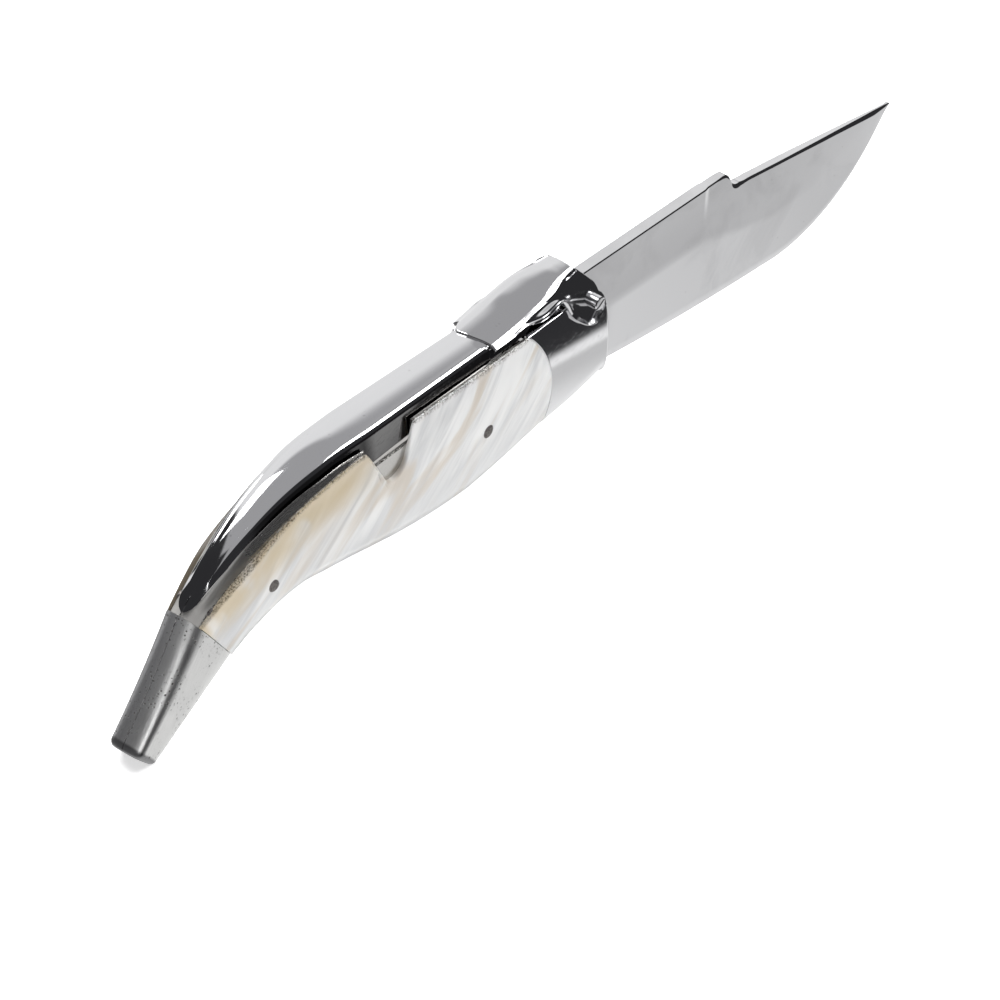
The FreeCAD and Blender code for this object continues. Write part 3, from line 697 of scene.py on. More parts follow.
def new_piece(name: str, shape: Mesh, crease_deg: float = CREASE_DEG) -> bpy.types.Object:
    """Make a piece from corners measured from the datum in millimetres.

    Args:
        name: the piece's name.
        shape: its corners, one row of x, y, z each, and the corner numbers of its faces.
        crease_deg: edges that turn more than this stay sharp.

    Returns:
        The new object.
    """
    corners, faces = shape
    mesh = bpy.data.meshes.new(name)
    mesh.from_pydata([tuple(corner) for corner in (corners + DATUM.origin) * MM], [], faces)
    work = bmesh.new()
    work.from_mesh(mesh)
    bmesh.ops.remove_doubles(work, verts=work.verts, dist=WELD)
    bmesh.ops.recalc_face_normals(work, faces=work.faces)
    work.to_mesh(mesh)
    work.free()
    mesh.shade_smooth()
    mesh.set_sharp_from_angle(angle=math.radians(crease_deg))
    piece = bpy.data.objects.new(name, mesh)
    bpy.context.scene.collection.objects.link(piece)
    return piece


def loft(sections: np.ndarray) -> Mesh:
    """Skin a row of closed sections and close both ends.

    Args:
        sections: array of shape (sections, points, 3).

    Returns:
        The corners and the faces, with the two end faces last.
    """
    rows, points = sections.shape[:2]
    faces = []
    for row in range(rows - 1):
        for point in range(points):
            following = (point + 1) % points
            faces.append([row * points + point, row * points + following,
                          (row + 1) * points + following, (row + 1) * points + point])
    faces.append(list(range(points)))
    faces.append([(rows - 1) * points + point for point in range(points)])
    return sections.reshape(-1, 3), faces


def turned(profile: Sequence[Pair], axis: Pair, sign: int = 1, count: int = 40) -> Mesh:
    """A round piece about an axis across the handle.

    Args:
        profile: depth and radius of each ring.
        axis: the axis in the side view.
        sign: the side that depth counts towards.
        count: corners round the axis.

    Returns:
        The corners and the faces.
    """
    angle = np.linspace(0.0, 2 * math.pi, count, endpoint=False)
    x, z = axis
    rings = [np.stack([x + radius * np.cos(angle), np.full(count, sign * depth),
                       z + radius * np.sin(angle)], 1) for depth, radius in profile]
    return loft(np.array(rings))


def carve(piece: bpy.types.Object, tool: bpy.types.Object) -> None:
    """Cut a tool's shape out of a piece and remove the tool.

    Args:
        piece: the piece to cut.
        tool: the shape to take away.
    """
    cut = piece.modifiers.new("cut", "BOOLEAN")
    cut.object = tool
    cut.operation = "DIFFERENCE"
    cut.solver = "EXACT"
    bpy.context.view_layer.update()
    evaluated = piece.evaluated_get(bpy.context.evaluated_depsgraph_get())
    mesh = bpy.data.meshes.new_from_object(evaluated)
    piece.modifiers.remove(cut)
    piece.data = mesh
    mesh.set_sharp_from_angle(angle=math.radians(CREASE_DEG))
    bpy.data.objects.remove(tool)


@dataclass
class SubAssembly:
    """What all groups of pieces share: they dress their pieces and hand them over."""

    def add(self, piece: bpy.types.Object, body: Body, slot: str, finish: bpy.types.Material,
            node: str) -> None:
        """Dress a piece and hand it over to the frame.

        Args:
            piece: the piece.
            body: the body that it rides on.
            slot: not used.
            finish: its material.
            node: the CAD node that it stands for.
        """
        piece.data.materials.clear()
        piece.data.materials.append(finish)
        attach(piece, body.value)
        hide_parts(node)
        log.info("%s rides on %s, %d faces", piece.name, body.value, len(piece.data.polygons))

    def keep(self, node: str, finish: bpy.types.Material) -> None:
        """Dress a CAD node that stays as it is.

        Args:
            node: the node's name.
            finish: its material.
        """
        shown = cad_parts[node]
        shown.data.materials.clear()
        shown.data.materials.append(finish)
        log.info("%s keeps its own shape", node)


# The handle's form


@dataclass(frozen=True)
class HandleForm:
    """Outline and thickness of the handle, shared by scales, liners, bolsters and spring."""

    front_x: float = 2.2
    top: float = -1.25
    front_low: float = -18.5
    joint_top: Pair = (-19.2, -1.25)
    joint_low: Pair = (-15.0, -21.9)
    joint_rise: float = 3.4
    back_bend: Pair = (-60.0, -1.25)
    rear_top: Pair = (-100.15, -16.8)
    back_rise: float = 3.7
    swell: Pair = (-34.0, -24.6)
    flank: Pair = (-55.0, -22.9)
    waist: Pair = (-76.0, -20.0)
    rear_low: Pair = (-92.6, -26.5)
    channel_half: float = 4.3
    spring_stations: tuple[float, ...] = (-96.2, -94.0, -86.0, -72.0, -60.0, -42.0, -28.0)
    spring_halves: tuple[float, ...] = (1.9, 2.25, 3.35, 4.7, 5.0, 4.7, 4.45)
    liner_stations: tuple[float, ...] = (-102.0, -94.0, -86.0, -72.0, -60.0, -42.0, -19.0)
    liner_depths: tuple[float, ...] = (3.0, 3.65, 4.5, 5.4, 5.65, 5.4, 5.0)
    spring_gap: float = 0.1
    scale_least: float = 0.3
    cheek_inner: float = 1.45
    stations: tuple[float, ...] = (-116.0, -102.0, -86.0, -62.0, -30.0, -14.0, 6.0)
    depths: tuple[float, ...] = (3.6, 3.7, 5.4, 6.6, 6.5, 6.35, 6.2)
    middles: tuple[float, ...] = (-36.0, -21.0, -14.5, -12.0, -12.6, -13.7, -15.8)
    curvatures: tuple[float, ...] = (0.0065, 0.0065, 0.0068, 0.0068, 0.0076, 0.0095, 0.0095)
    lean_from: float = -78.0
    lean_run: float = 15.0
    dome_stations: tuple[float, ...] = (-100.0, -88.0, -78.0, -68.0, -60.0)
    dome_rises: tuple[float, ...] = (1.6, 2.2, 1.9, 1.1, 0.0)
    belly_rises: tuple[float, ...] = (0.25, 0.4, -0.3, -1.33)

    def outer(self, x: np.ndarray, z: np.ndarray) -> np.ndarray:
        """Depth of the rounded outside at places in the side view.

        Args:
            x: places along the handle.
            z: their heights.

        Returns:
            The depths from the middle.
        """
        lean = (self.rear_top[0] - self.rear_low[0]) / (self.rear_top[1] - self.rear_low[1])
        share = np.clip((self.lean_from - x) / self.lean_run, 0.0, 1.0)
        place = x - share * lean * (z - self.rear_top[1])
        depth = np.interp(place, self.stations, self.depths)
        middle = np.interp(place, self.stations, self.middles)
        curvature = np.interp(place, self.stations, self.curvatures)
        return depth - curvature * (z - middle) ** 2

    def liner_outer(self, x: np.ndarray, z: np.ndarray) -> np.ndarray:
        """Depth of the liner's outer face."""
        return np.interp(x, self.liner_stations, self.liner_depths)

    def cheek_inside(self, x: np.ndarray, z: np.ndarray) -> np.ndarray:
        """Depth of the front bolster's inner face."""
        return np.full_like(x, self.cheek_inner)

    def liner_inside(self, x: np.ndarray, z: np.ndarray) -> np.ndarray:
        """Depth of the liner's inner face, which follows the spring's sides."""
        return self.spring_half(x) + self.spring_gap

    def scale_outside(self, x: np.ndarray, z: np.ndarray) -> np.ndarray:
        """Depth of the scale's outer face, which covers the liner everywhere."""
        return np.maximum(self.outer(x, z), self.liner_outer(x, z) + self.scale_least)

    def spring_half(self, x: np.ndarray) -> np.ndarray:
        """Half width of the back spring, with its round tail.

        Args:
            x: places along the handle.

        Returns:
            The half widths.
        """
        half = np.interp(x, self.spring_stations, self.spring_halves)
        tail = np.clip((self.spring_stations[0] - x) / self.spring_halves[0], 0.0, 1.0)
        return half * np.sqrt(1.0 - tail ** 2)

    def dome(self, x: np.ndarray) -> np.ndarray:
        """How far the back rises from its edges to its middle."""
        return np.interp(x, self.dome_stations, self.dome_rises)

    def back(self, count: int = 46) -> np.ndarray:
        """The back edge from the bend to the rear bolster."""
        return bow(self.back_bend, self.rear_top, -self.back_rise, count)

    def back_behind(self, x: float, gap: float) -> np.ndarray:
        """The back edge behind a place.

        Args:
            x: the place, which gets a point of its own.
            gap: least distance from it to the next point.

        Returns:
            The edge's points.
        """
        line = self.back()
        z = float(np.interp(-x, -line[:, 0], line[:, 1]))
        return np.vstack([[(x, z)], line[line[:, 0] < x - gap]])

    def belly(self) -> np.ndarray:
        """The lower edge from the front joint to the rear one.

        Returns:
            The edge's points.
        """
        front, middle, flat, rear = self.belly_rises
        return chain(
            bow(self.joint_low, self.swell, front), bow(self.swell, self.flank, middle),
            bow(self.flank, self.waist, flat), bow(self.waist, self.rear_low, rear, 24))

    def front_joint(self) -> np.ndarray:
        """The curved joint between the front bolster and the scale."""
        return bow(self.joint_top, self.joint_low, self.joint_rise, 40)

    def rear_joint(self) -> np.ndarray:
        """The straight joint between the scale and the rear bolster."""
        return bow(self.rear_top, self.rear_low, 0.0, 30)


FORM = HandleForm()
Depth = Callable[[np.ndarray, np.ndarray], np.ndarray]
Rise = Callable[[np.ndarray], np.ndarray]


@dataclass(frozen=True)
class PlateShape:
    """A plate filled in between four edges of the side view, with rounded rims."""

    top: np.ndarray
    low: np.ndarray
    front: np.ndarray
    rear: np.ndarray
    top_round: float
    low_round: float
    end_round: float
    rows: int = 18
    rim_rows: tuple[float, ...] = (0.06, 0.15, 0.32, 0.6, 1.0, 1.6)
    dome_shares: tuple[float, ...] = (1.0, 0.8, 0.55, 0.28)

    def grid(self) -> np.ndarray:
        """Points of the side view, filled in between the edges.

        Returns:
            Array of shape (columns, rows, 2).
        """
        u = (self.top[:, 0] - self.top[0, 0]) / (self.top[-1, 0] - self.top[0, 0])
        height = float(np.hypot(*(self.front[-1] - self.front[0])))
        v = graded(self.rows, height, self.rim_rows)
        low_x = self.low[0, 0] + u * (self.low[-1, 0] - self.low[0, 0])
        low = np.stack([low_x, np.interp(-low_x, -self.low[:, 0], self.low[:, 1])], 1)
        front, rear = along(self.front, v), along(self.rear, v)
        uu, vv = u[:, None, None], v[None, :, None]
        across = (1 - vv) * self.top[:, None] + vv * low[:, None]
        length = (1 - uu) * front[None] + uu * rear[None]
        corners = ((1 - uu) * (1 - vv) * self.top[0] + uu * (1 - vv) * self.top[-1]
                   + (1 - uu) * vv * low[0] + uu * vv * low[-1])
        return across + length - corners

    def sections(self, side: Side, outer: Depth, inner: Depth, seat: Optional[Pair] = None,
                 dome: Optional[Rise] = None, least: float = 0.0) -> np.ndarray:
        """Closed sections of the plate, one for each column.

        Args:
            side: the handle's side.
            outer: depth of the outside.
            inner: depth of the inside.
            seat: depth and height of a step along the inside of the top.
            dome: rise of the top from the outside to the inside.
            least: thickness that the rounded rims keep.

        Returns:
            Array of shape (columns, points, 3).
        """
        side_view = self.grid()
        x, z = side_view[..., 0], side_view[..., 1]
        fall = np.maximum.reduce([
            roll_off(away_from(side_view, self.top), self.top_round),
            roll_off(away_from(side_view, self.low), self.low_round),
            roll_off(away_from(side_view, self.front), self.end_round),
            roll_off(away_from(side_view, self.rear), self.end_round)])
        face = np.stack([x, side.value * np.maximum(outer(x, z) - fall, inner(x, z) + least), z], -1)
        foot = np.stack([x[:, -1], side.value * inner(x[:, -1], z[:, -1]), z[:, -1]], -1)
        head = np.stack([x[:, 0], side.value * inner(x[:, 0], z[:, 0]), z[:, 0]], -1)
        loop = [face, foot[:, None], head[:, None]]
        if seat is not None:
            step = np.repeat(head[:, None], 3, axis=1)
            step[:, 0, 2] = seat[1]
            step[:, 1, 1:] = (side.value * seat[0], seat[1])
            step[:, 2, 1] = side.value * seat[0]
            loop = [face, foot[:, None], step]
        if dome is not None:
            loop = [face, foot[:, None], self._domed(face[:, 0], head, dome)]
        return np.concatenate(loop, axis=1)

    def _domed(self, rim_line: np.ndarray, head: np.ndarray, dome: Rise) -> np.ndarray:
        """Points over the top of a plate that rises towards its inside.

        Args:
            rim_line: the top's outer edge.
            head: its inner edge.
            dome: how far the inner edge stands above the outer one.

        Returns:
            Array of shape (columns, points, 3).
        """
        way = np.gradient(self.top, axis=0)
        way = way / np.linalg.norm(way, axis=1)[:, None]
        up = np.stack([way[:, 1], np.zeros(len(way)), -way[:, 0]], 1)
        rise = dome(self.top[:, 0])[:, None]
        return np.stack([rim_line + (head - rim_line) * share + up * rise * math.sin(share * math.pi / 2)
                         for share in self.dome_shares], axis=1)


def even(start: Pair, end: Pair, step: float) -> np.ndarray:
    """A straight run with points about a step apart."""
    length = math.hypot(end[0] - start[0], end[1] - start[1])
    return bow(start, end, 0.0, max(2, int(round(length / step)) + 1))


def with_fine_ends(line: np.ndarray) -> np.ndarray:
    """Add points close to both ends of a line, for its rounded rims.

    Args:
        line: the line's points.

    Returns:
        The points with the added ones.
    """
    shares = share_of(line)
    length = float(np.hypot(*np.diff(line, axis=0).T).sum())
    near = np.array(RIM_STEPS) / length
    keep = shares[(shares > near[-1] * 1.2) & (shares < 1 - near[-1] * 1.2)]
    return along(line, np.concatenate([[0.0], near, keep, 1 - near[::-1], [1.0]]))


# Sub-assemblies


@dataclass
class Blade(SubAssembly):
    """The clip-point blade with its stepped back, ground faces and round tang."""

    tip: Pair = (92.9, -10.0)
    fine_x: float = 34.5
    crest_x: float = 39.9
    peak: Pair = (41.3, -0.15)
    slope: Pair = (43.2, -2.2)
    valley: Pair = (45.9, -3.85)
    heel: Pair = (3.0, -22.8)
    belly: Pair = (57.2, -27.9)
    edge_rise: float = 0.58
    point_rise: float = 5.85
    half: float = 1.25
    hollow: float = 0.08
    fore_stations: tuple[float, ...] = (36.0, 47.0, 57.0, 71.0, 84.5, 92.9)
    fore_start: Pair = (48.4, -4.2)
    back_halves: tuple[float, ...] = (1.03, 1.06, 1.06, 0.92, 0.66, 0.42)
    line_halves: tuple[float, ...] = (1.25, 1.18, 1.0, 0.74, 0.5, 0.3)
    line_heights: tuple[float, ...] = (-11.0, -14.2, -16.4, -15.9, -12.2, -10.4)
    bevel_stations: tuple[float, ...] = (0.0, 38.5, 41.3, 43.2, 45.4, 47.4, 60.0, 75.0, 88.0, 92.9)
    bevel_drops: tuple[float, ...] = (0.19, 0.22, 0.5, 0.85, 0.75, 0.42, 0.45, 0.62, 0.95, 0.25)
    bevel_widths: tuple[float, ...] = (0.18, 0.2, 0.32, 0.36, 0.36, 0.32, 0.32, 0.36, 0.3, 0.2)
    edge_half: float = 0.16
    keen_half: float = 0.03
    middle_stations: Triple = (0.0, 0.38, 1.0)
    middle_shares: Triple = (0.402, 0.402, 0.5)
    ricasso_x: float = 8.0
    ricasso_run: float = 0.8
    grind_z: float = -11.0
    plunge_x: float = 35.6
    plunge_width: float = 1.3
    stop_x: float = -1.157
    pivot: Pair = (-8.5, -11.0)
    tang_radius: float = 9.9
    tang_bevel: float = 0.25
    tang_gap: float = 0.01
    tang_corners: int = 64
    bore: float = 2.05

    def spine(self) -> np.ndarray:
        """The back from the stop to the tip.

        Returns:
            The back's points.
        """
        stop, fine, crest = (self.stop_x, 0.0), (self.fine_x, 0.0), (self.crest_x, 0.0)
        return chain(
            even(stop, fine, 1.6), even(fine, crest, 0.3), bow(crest, self.peak, 0.06, 5),
            bow(self.peak, self.slope, 0.25, 9), bow(self.slope, self.valley, -0.6, 12),
            bow(self.valley, self.fore_start, -0.1, 8), even(self.fore_start, self.tip, 1.2))

    def edge(self) -> np.ndarray:
        """The cutting edge from below the tang to the tip.

        Returns:
            The edge's points.
        """
        foot = (self.pivot[0], self.pivot[1] - self.tang_radius)
        return chain(
            bow(foot, self.heel, 0.0, 6), bow(self.heel, self.belly, -self.edge_rise, 60),
            bow(self.belly, self.tip, -self.point_rise, 60))

    def thickness(self, x: np.ndarray, drop: np.ndarray, height: np.ndarray) -> np.ndarray:
        """Half thickness of the ground faces.

        Args:
            x: places along the blade.
            drop: distance below the back.
            height: whole height of the blade there.

        Returns:
            The half thicknesses.
        """
        low = np.clip((drop + self.grind_z) / np.maximum(height + self.grind_z, 0.1), 0.0, 1.0)
        above = np.clip(-drop / self.grind_z, 0.0, 1.0)
        rear = self.half - (self.half - self.edge_half) * low - self.hollow * np.sin(above * math.pi)
        spine = self.spine()
        back = np.interp(x, spine[:, 0], spine[:, 1])
        z = back - drop
        guide = np.interp(x, (self.plunge_x, self.fore_start[0], self.tip[0]),
                          (0.0, self.fore_start[1], self.tip[1]))
        top, middle, line = (np.interp(x, self.fore_stations, values)
                             for values in (self.back_halves, self.line_halves, self.line_heights))
        upper = top + (middle - top) * np.clip((guide - z) / (guide - line), 0.0, 1.0)
        fore = upper - (middle - self.edge_half) * np.clip(
            (line - z) / np.maximum(line - back + height, 0.1), 0.0, 1.0)
        share = np.clip((x - self.plunge_x) / self.plunge_width + 0.5, 0.0, 1.0)
        share = share * share * (3 - 2 * share)
        bare = np.clip((x - self.ricasso_x) / self.ricasso_run, 0.0, 1.0)
        rear = self.half + (rear - self.half) * bare
        return rear + (fore - rear) * share

    def sections(self) -> np.ndarray:
        """Closed sections across the blade from the stop to the tip.

        Returns:
            Array of shape (sections, points, 3).
        """
        spine, edge = self.spine(), self.edge()
        shares = (spine[:, 0] - spine[0, 0]) / (spine[-1, 0] - spine[0, 0])
        low_x = edge[0, 0] + (spine[:, 0] - spine[0, 0]) * (edge[-1, 0] - edge[0, 0]) / (
            spine[-1, 0] - spine[0, 0])
        lean = np.clip((spine[:, 0] - self.stop_x) / (self.ricasso_x - self.stop_x), 0.0, 1.0)
        low_x = low_x + (spine[:, 0] - low_x) * lean
        low = np.stack([low_x, np.interp(low_x, edge[:, 0], edge[:, 1])], 1)
        rows = []
        for (x, z), (foot_x, foot_z), share in zip(spine, low, shares):
            height = max(z - foot_z, 0.02)
            bevel = min(float(np.interp(x, self.bevel_stations, self.bevel_drops)), height * 0.35)
            middle = bevel + (height - bevel) * np.interp(share, self.middle_stations, self.middle_shares)
            if self.ricasso_x < x < self.plunge_x:
                middle = -self.grind_z + z
            drops = np.concatenate([
                np.linspace(bevel, middle, 9), np.linspace(middle, height - min(0.7, height * 0.1), 13)[1:],
                [height]])
            xs = x + (foot_x - x) * drops / height
            half = self.thickness(xs, drops, np.full_like(drops, height))
            half[-1] = self.keen_half
            flat = max(half[0] - float(np.interp(x, self.bevel_stations, self.bevel_widths)), 0.1)
            outside = [(x, -flat, z)] + [(a, -b, z - c) for a, b, c in zip(xs, half, drops)]
            inside = [(a, -b, c) for a, b, c in reversed(outside)]
            rows.append(outside + inside)
        return np.array(rows)

    def tang(self) -> Mesh:
        """The round tang with its bore.

        Returns:
            The corners and the faces.
        """
        half, bevel, count = self.half - self.tang_gap, self.tang_bevel, self.tang_corners
        outside = ((half - bevel, self.tang_radius), (half, self.tang_radius - bevel), (half, self.bore))
        profile = [(-depth, radius) for depth, radius in reversed(outside)] + list(outside)
        corners, faces = turned(profile, self.pivot, 1, count)
        faces = faces[:-2]
        last = (len(profile) - 1) * count
        for corner in range(count):
            following = (corner + 1) % count
            faces.append([corner, last + corner, last + following, following])
        return corners, faces

    def build(self, steel: bpy.types.Material) -> None:
        """Make the blade.

        Args:
            steel: its finish.
        """
        corners, faces = loft(self.sections())
        round_corners, round_faces = self.tang()
        shift = len(corners)
        faces = faces + [[corner + shift for corner in face] for face in round_faces]
        piece = new_piece("knife_blade", (np.vstack([corners, round_corners]), faces), 14.0)
        self.add(piece, Body.BLADE, "blade_steel", steel, "blade")


@dataclass
class BackSpring(SubAssembly):
    """The wide rounded spring along the back, with its nose under the lever."""

    crown: float = 1.75
    step_x: float = -28.6
    step_run: float = 0.5
    bend_x: float = -66.0
    tail: Pair = (-100.1, -14.3)
    back_rise: float = 4.2
    corners: Pair = (0.5, 1.2)
    swell_stations: tuple[float, ...] = (-100.0, -88.0, -76.0, -62.0, -28.0)
    swells: tuple[float, ...] = (0.5, 0.8, 0.7, 0.4, 0.28)
    lean: float = 0.5
    belly_stations: tuple[float, ...] = (-66.0, -63.5, -49.0, -46.0, -40.0, -36.0)
    belly_depths: tuple[float, ...] = (0.0, 2.3, 1.45, 0.0, 0.0, -1.0)
    thickness: float = 5.0
    tail_thickness: float = 3.6
    taper_x: float = -80.0
    under_corner: float = 0.3
    under_share: float = 0.93
    nose_x: float = -5.0
    nose_corner: float = 0.4
    nose_swell: float = 0.05
    nose_stations: tuple[float, ...] = (-28.6, -19.0, -15.5)
    nose_halves: tuple[float, ...] = (4.4, 4.3, 3.2)
    nose_tops: Pair = (2.6, 0.7)
    nose_unders: Pair = (-0.62, -1.55)

    def half_section(self, half: float, thick: float, corner: float, swell: float) -> list[Pair]:
        """One side of a section, from the crown to the underside.

        Args:
            half: half width.
            thick: height of the section.
            corner: radius of the upper edge.
            swell: rise of the crown over its edges.

        Returns:
            Pairs of side distance and drop below the crown.
        """
        lean = min(self.lean, half * 0.2)
        inner = max(half - lean - corner, 0.0)
        top = [(inner * share, swell * share * share) for share in np.linspace(0.0, 1.0, 6)]
        turn = [(inner + corner * math.sin(a), swell + corner * (1 - math.cos(a)))
                for a in np.linspace(0.0, math.pi / 2, 11)[1:]]
        foot = max(thick - self.under_corner, swell + corner + 0.05)
        return top + turn + [(half, foot), (half * self.under_share, thick)]

    def section(self, x: float, z: float, tilt: float, sizes: Sequence[float]) -> list[Triple]:
        """A closed section across the spring.

        Args:
            x: place of its crown along the handle.
            z: height of its crown.
            tilt: slope of the crown line, in radians.
            sizes: half width, height, corner radius and crown rise.

        Returns:
            Its points.
        """
        side = self.half_section(*sizes)
        left = [(x - drop * math.sin(tilt), -y, z - drop * math.cos(tilt)) for y, drop in side]
        right = [(a, -b, c) for a, b, c in reversed(left[1:])]
        return left + right

    def sections(self) -> np.ndarray:
        """Sections from the nose to the tail.

        Returns:
            Array of shape (sections, points, 3).
        """
        rows = []
        nose = (self.step_x, self.nose_x)
        for x in np.linspace(self.nose_x, self.step_x + 0.05, 16):
            top = float(np.interp(x, nose, self.nose_tops[::-1]))
            under = float(np.interp(x, nose, self.nose_unders[::-1]))
            half = float(np.interp(x, self.nose_stations, self.nose_halves))
            rows.append(self.section(x, top, 0.0, (half, top - under, self.nose_corner, self.nose_swell)))
        step, start = (self.step_x, self.crown), (self.step_x - self.step_run, self.crown)
        bend = (self.bend_x, self.crown)
        straight = chain(even(step, start, 0.1), even(start, bend, 1.5))
        curved = bow(bend, self.tail, -self.back_rise, 60)
        ends = along(curved, np.concatenate([np.linspace(0.0, 0.93, 52), np.linspace(0.932, 1.0, 26)]))
        line = chain(straight, ends)
        slope = np.gradient(line, axis=0)
        for (x, z), (dx, dz) in zip(line, slope):
            half = max(float(FORM.spring_half(np.array(x))), 0.05)
            share = float(np.interp(x, (self.tail[0], self.taper_x), (0.0, 1.0)))
            thick = self.tail_thickness + (self.thickness - self.tail_thickness) * share
            corner = min(self.corners[0] + (self.corners[1] - self.corners[0]) * share, half * 0.6)
            swell = min(float(np.interp(x, self.swell_stations, self.swells)), half * 0.3)
            corner *= float(np.clip((self.step_x - x) / self.step_run, 0.35, 1.0))
            thick += float(np.interp(x, self.belly_stations, self.belly_depths))
            rows.append(self.section(x, z, math.atan2(-dz, -dx), (half, thick, corner, swell)))
        return np.array(rows)

    def build(self, steel: bpy.types.Material) -> None:
        """Make the spring.

        Args:
            steel: its finish.
        """
        piece = new_piece("knife_back_spring", loft(self.sections()), 38.0)
        self.add(piece, Body.SPRING, "spring_steel", steel, "back_spring")


@dataclass
class LockLever(SubAssembly):
    """The hinged lever: a thin shell with a roof, flared sides and two ears."""

    wall: float = 0.8
    skew: float = 0.17
    clip: float = 2.4
    clip_from: float = 0.55
    clip_run: float = 0.45
    lip: Triple = (0.0, 0.28, -0.16)
    roof_share: Triple = (0.65, 0.65, 0.35)
    crest: tuple[Triple, ...] = (
        (-28.3, 0.0, 2.05), (-24.4, 0.0, 2.6), (-20.4, 0.0, 3.2), (-17.2, 0.0, 3.9), (-13.9, 0.0, 4.45),
        (-11.5, 0.0, 4.8), (-9.0, 0.0, 5.05), (-7.0, 0.0, 5.12), (-5.0, 0.0, 5.15))
    shoulder: tuple[Triple, ...] = (
        (-28.1, 4.0, 1.66), (-24.2, 4.05, 2.15), (-20.4, 4.05, 2.72), (-17.1, 3.95, 3.4), (-13.9, 3.85, 3.95),
        (-11.7, 3.4, 4.33), (-9.0, 2.7, 4.75), (-7.0, 2.45, 4.85), (-5.0, 2.3, 4.9))
    flank: tuple[Triple, ...] = (
        (-28.1, 4.3, 1.49), (-24.2, 4.38, 1.96), (-20.4, 4.38, 2.53), (-17.1, 4.28, 3.21), (-13.8, 4.2, 3.75),
        (-11.4, 3.85, 4.07), (-8.8, 3.18, 4.48), (-6.8, 2.93, 4.58), (-4.7, 2.73, 4.66))
    flare: tuple[Triple, ...] = (
        (-28.15, 4.55, 1.35), (-24.15, 4.66, 1.8), (-20.35, 4.66, 2.37), (-17.0, 4.58, 3.03),
        (-13.6, 4.55, 3.54), (-11.0, 4.3, 3.79), (-8.5, 3.64, 4.16), (-6.4, 3.38, 4.28), (-4.3, 3.13, 4.38))
    ear: tuple[Triple, ...] = (
        (-28.2, 4.74, 1.24), (-24.1, 4.9, 1.66), (-20.3, 4.9, 2.23), (-16.6, 4.86, 2.75), (-12.7, 4.85, 3.1),
        (-9.4, 4.7, 2.0), (-7.4, 4.6, 0.7), (-4.7, 5.02, -1.2), (-0.9, 4.6, 0.5))
    skirt: tuple[Triple, ...] = (
        (-28.25, 4.9, 1.14), (-24.05, 5.1, 1.54), (-20.2, 5.1, 2.1), (-15.2, 5.0, 1.3), (-10.7, 4.95, 2.0),
        (-8.1, 4.95, 0.0), (-6.4, 5.5, -3.0), (-2.9, 6.0, -5.35), (0.3, 5.5, -3.4))
    columns: int = 90
    span: int = 7

    def grid(self) -> np.ndarray:
        """Points of the shell's outside, from its tail to its ears.

        Returns:
            Array of shape (columns, points, 3).
        """
        mirror = np.array((1.0, -1.0, 1.0))
        lines = [curve_through(line, self.columns)
                 for line in (self.crest, self.shoulder, self.flank, self.flare, self.ear, self.skirt)]
        rows = []
        for crest, *outside in zip(*lines):
            roof = crest + (outside[0] - crest) * np.array(self.roof_share)
            knots = (roof * mirror, crest, roof, *outside, outside[-1] + np.array(self.lip))
            half = curve_through(knots, self.span * (len(knots) - 1) + 1)[self.span:]
            rows.append(np.vstack([(half * mirror)[::-1], half[1:]]))
        grid = np.array(rows)
        fade = np.linspace(1.0, 0.0, self.columns)[:, None] ** 3
        across = grid[..., 1]
        corner = np.clip(across / self.shoulder[0][1] - self.clip_from, 0.0, 0.5) / self.clip_run
        grid[..., 0] += fade * (self.clip * corner ** 2 - self.skew * (across - across[0, 0]))
        return grid

    def build(self, steel: bpy.types.Material) -> None:
        """Make the lever.

        Args:
            steel: its finish.
        """
        grid = self.grid()
        count = grid.shape[1]
        faces = [[row * count + point, row * count + point + 1, (row + 1) * count + point + 1,
                  (row + 1) * count + point]
                 for row in range(self.columns - 1) for point in range(count - 1)]
        piece = new_piece("knife_lock_lever", (grid.reshape(-1, 3), faces), 60.0)
        shell = piece.modifiers.new("wall", "SOLIDIFY")
        shell.thickness = self.wall * MM
        shell.offset = -1.0
        self.add(piece, Body.LEVER, "spring_steel", steel, "lock_lever")


@dataclass
class LeverPin(SubAssembly):
    """The pin that the lever turns on, with a slot across each end."""

    axis: Pair = (-2.607, -1.7)
    radius: float = 1.3
    reach: float = 7.5
    chamfer: float = 0.18
    dome: float = 0.05
    dome_share: float = 0.4
    slot_width: float = 0.42
    slot_depth: float = 0.4
    slot_tilt_deg: float = 35.0

    def build(self, steel: bpy.types.Material) -> None:
        """Make the pin.

        Args:
            steel: its finish.
        """
        half = [(self.reach - self.chamfer, self.radius), (self.reach, self.radius - self.chamfer),
                (self.reach + self.dome, self.dome_share * self.radius)]
        profile = [(-depth, radius) for depth, radius in reversed(half)] + half
        piece = new_piece("knife_lever_pin", turned(profile, self.axis, 1, 48))
        for sign in (-1, 1):
            carve(piece, self._slot(sign))
        self.add(piece, Body.HANDLE, "pin_steel", steel, "lever_pin")

    def _slot(self, sign: int) -> bpy.types.Object:
        """The bar that cuts the slot on one end.

        Args:
            sign: the side of that end.

        Returns:
            The bar.
        """
        reach, half = self.radius * 2, self.slot_width / 2
        x, z = self.axis
        tilt = math.radians(self.slot_tilt_deg)
        ends = []
        for depth in (self.reach - self.slot_depth, self.reach + self.slot_depth):
            ring = []
            for run, rise in ((-reach, -half), (reach, -half), (reach, half), (-reach, half)):
                ring.append((x + run * math.cos(tilt) - rise * math.sin(tilt), sign * depth,
                             z + run * math.sin(tilt) + rise * math.cos(tilt)))
            ends.append(ring)
        return new_piece("slot_bar", loft(np.array(ends)))


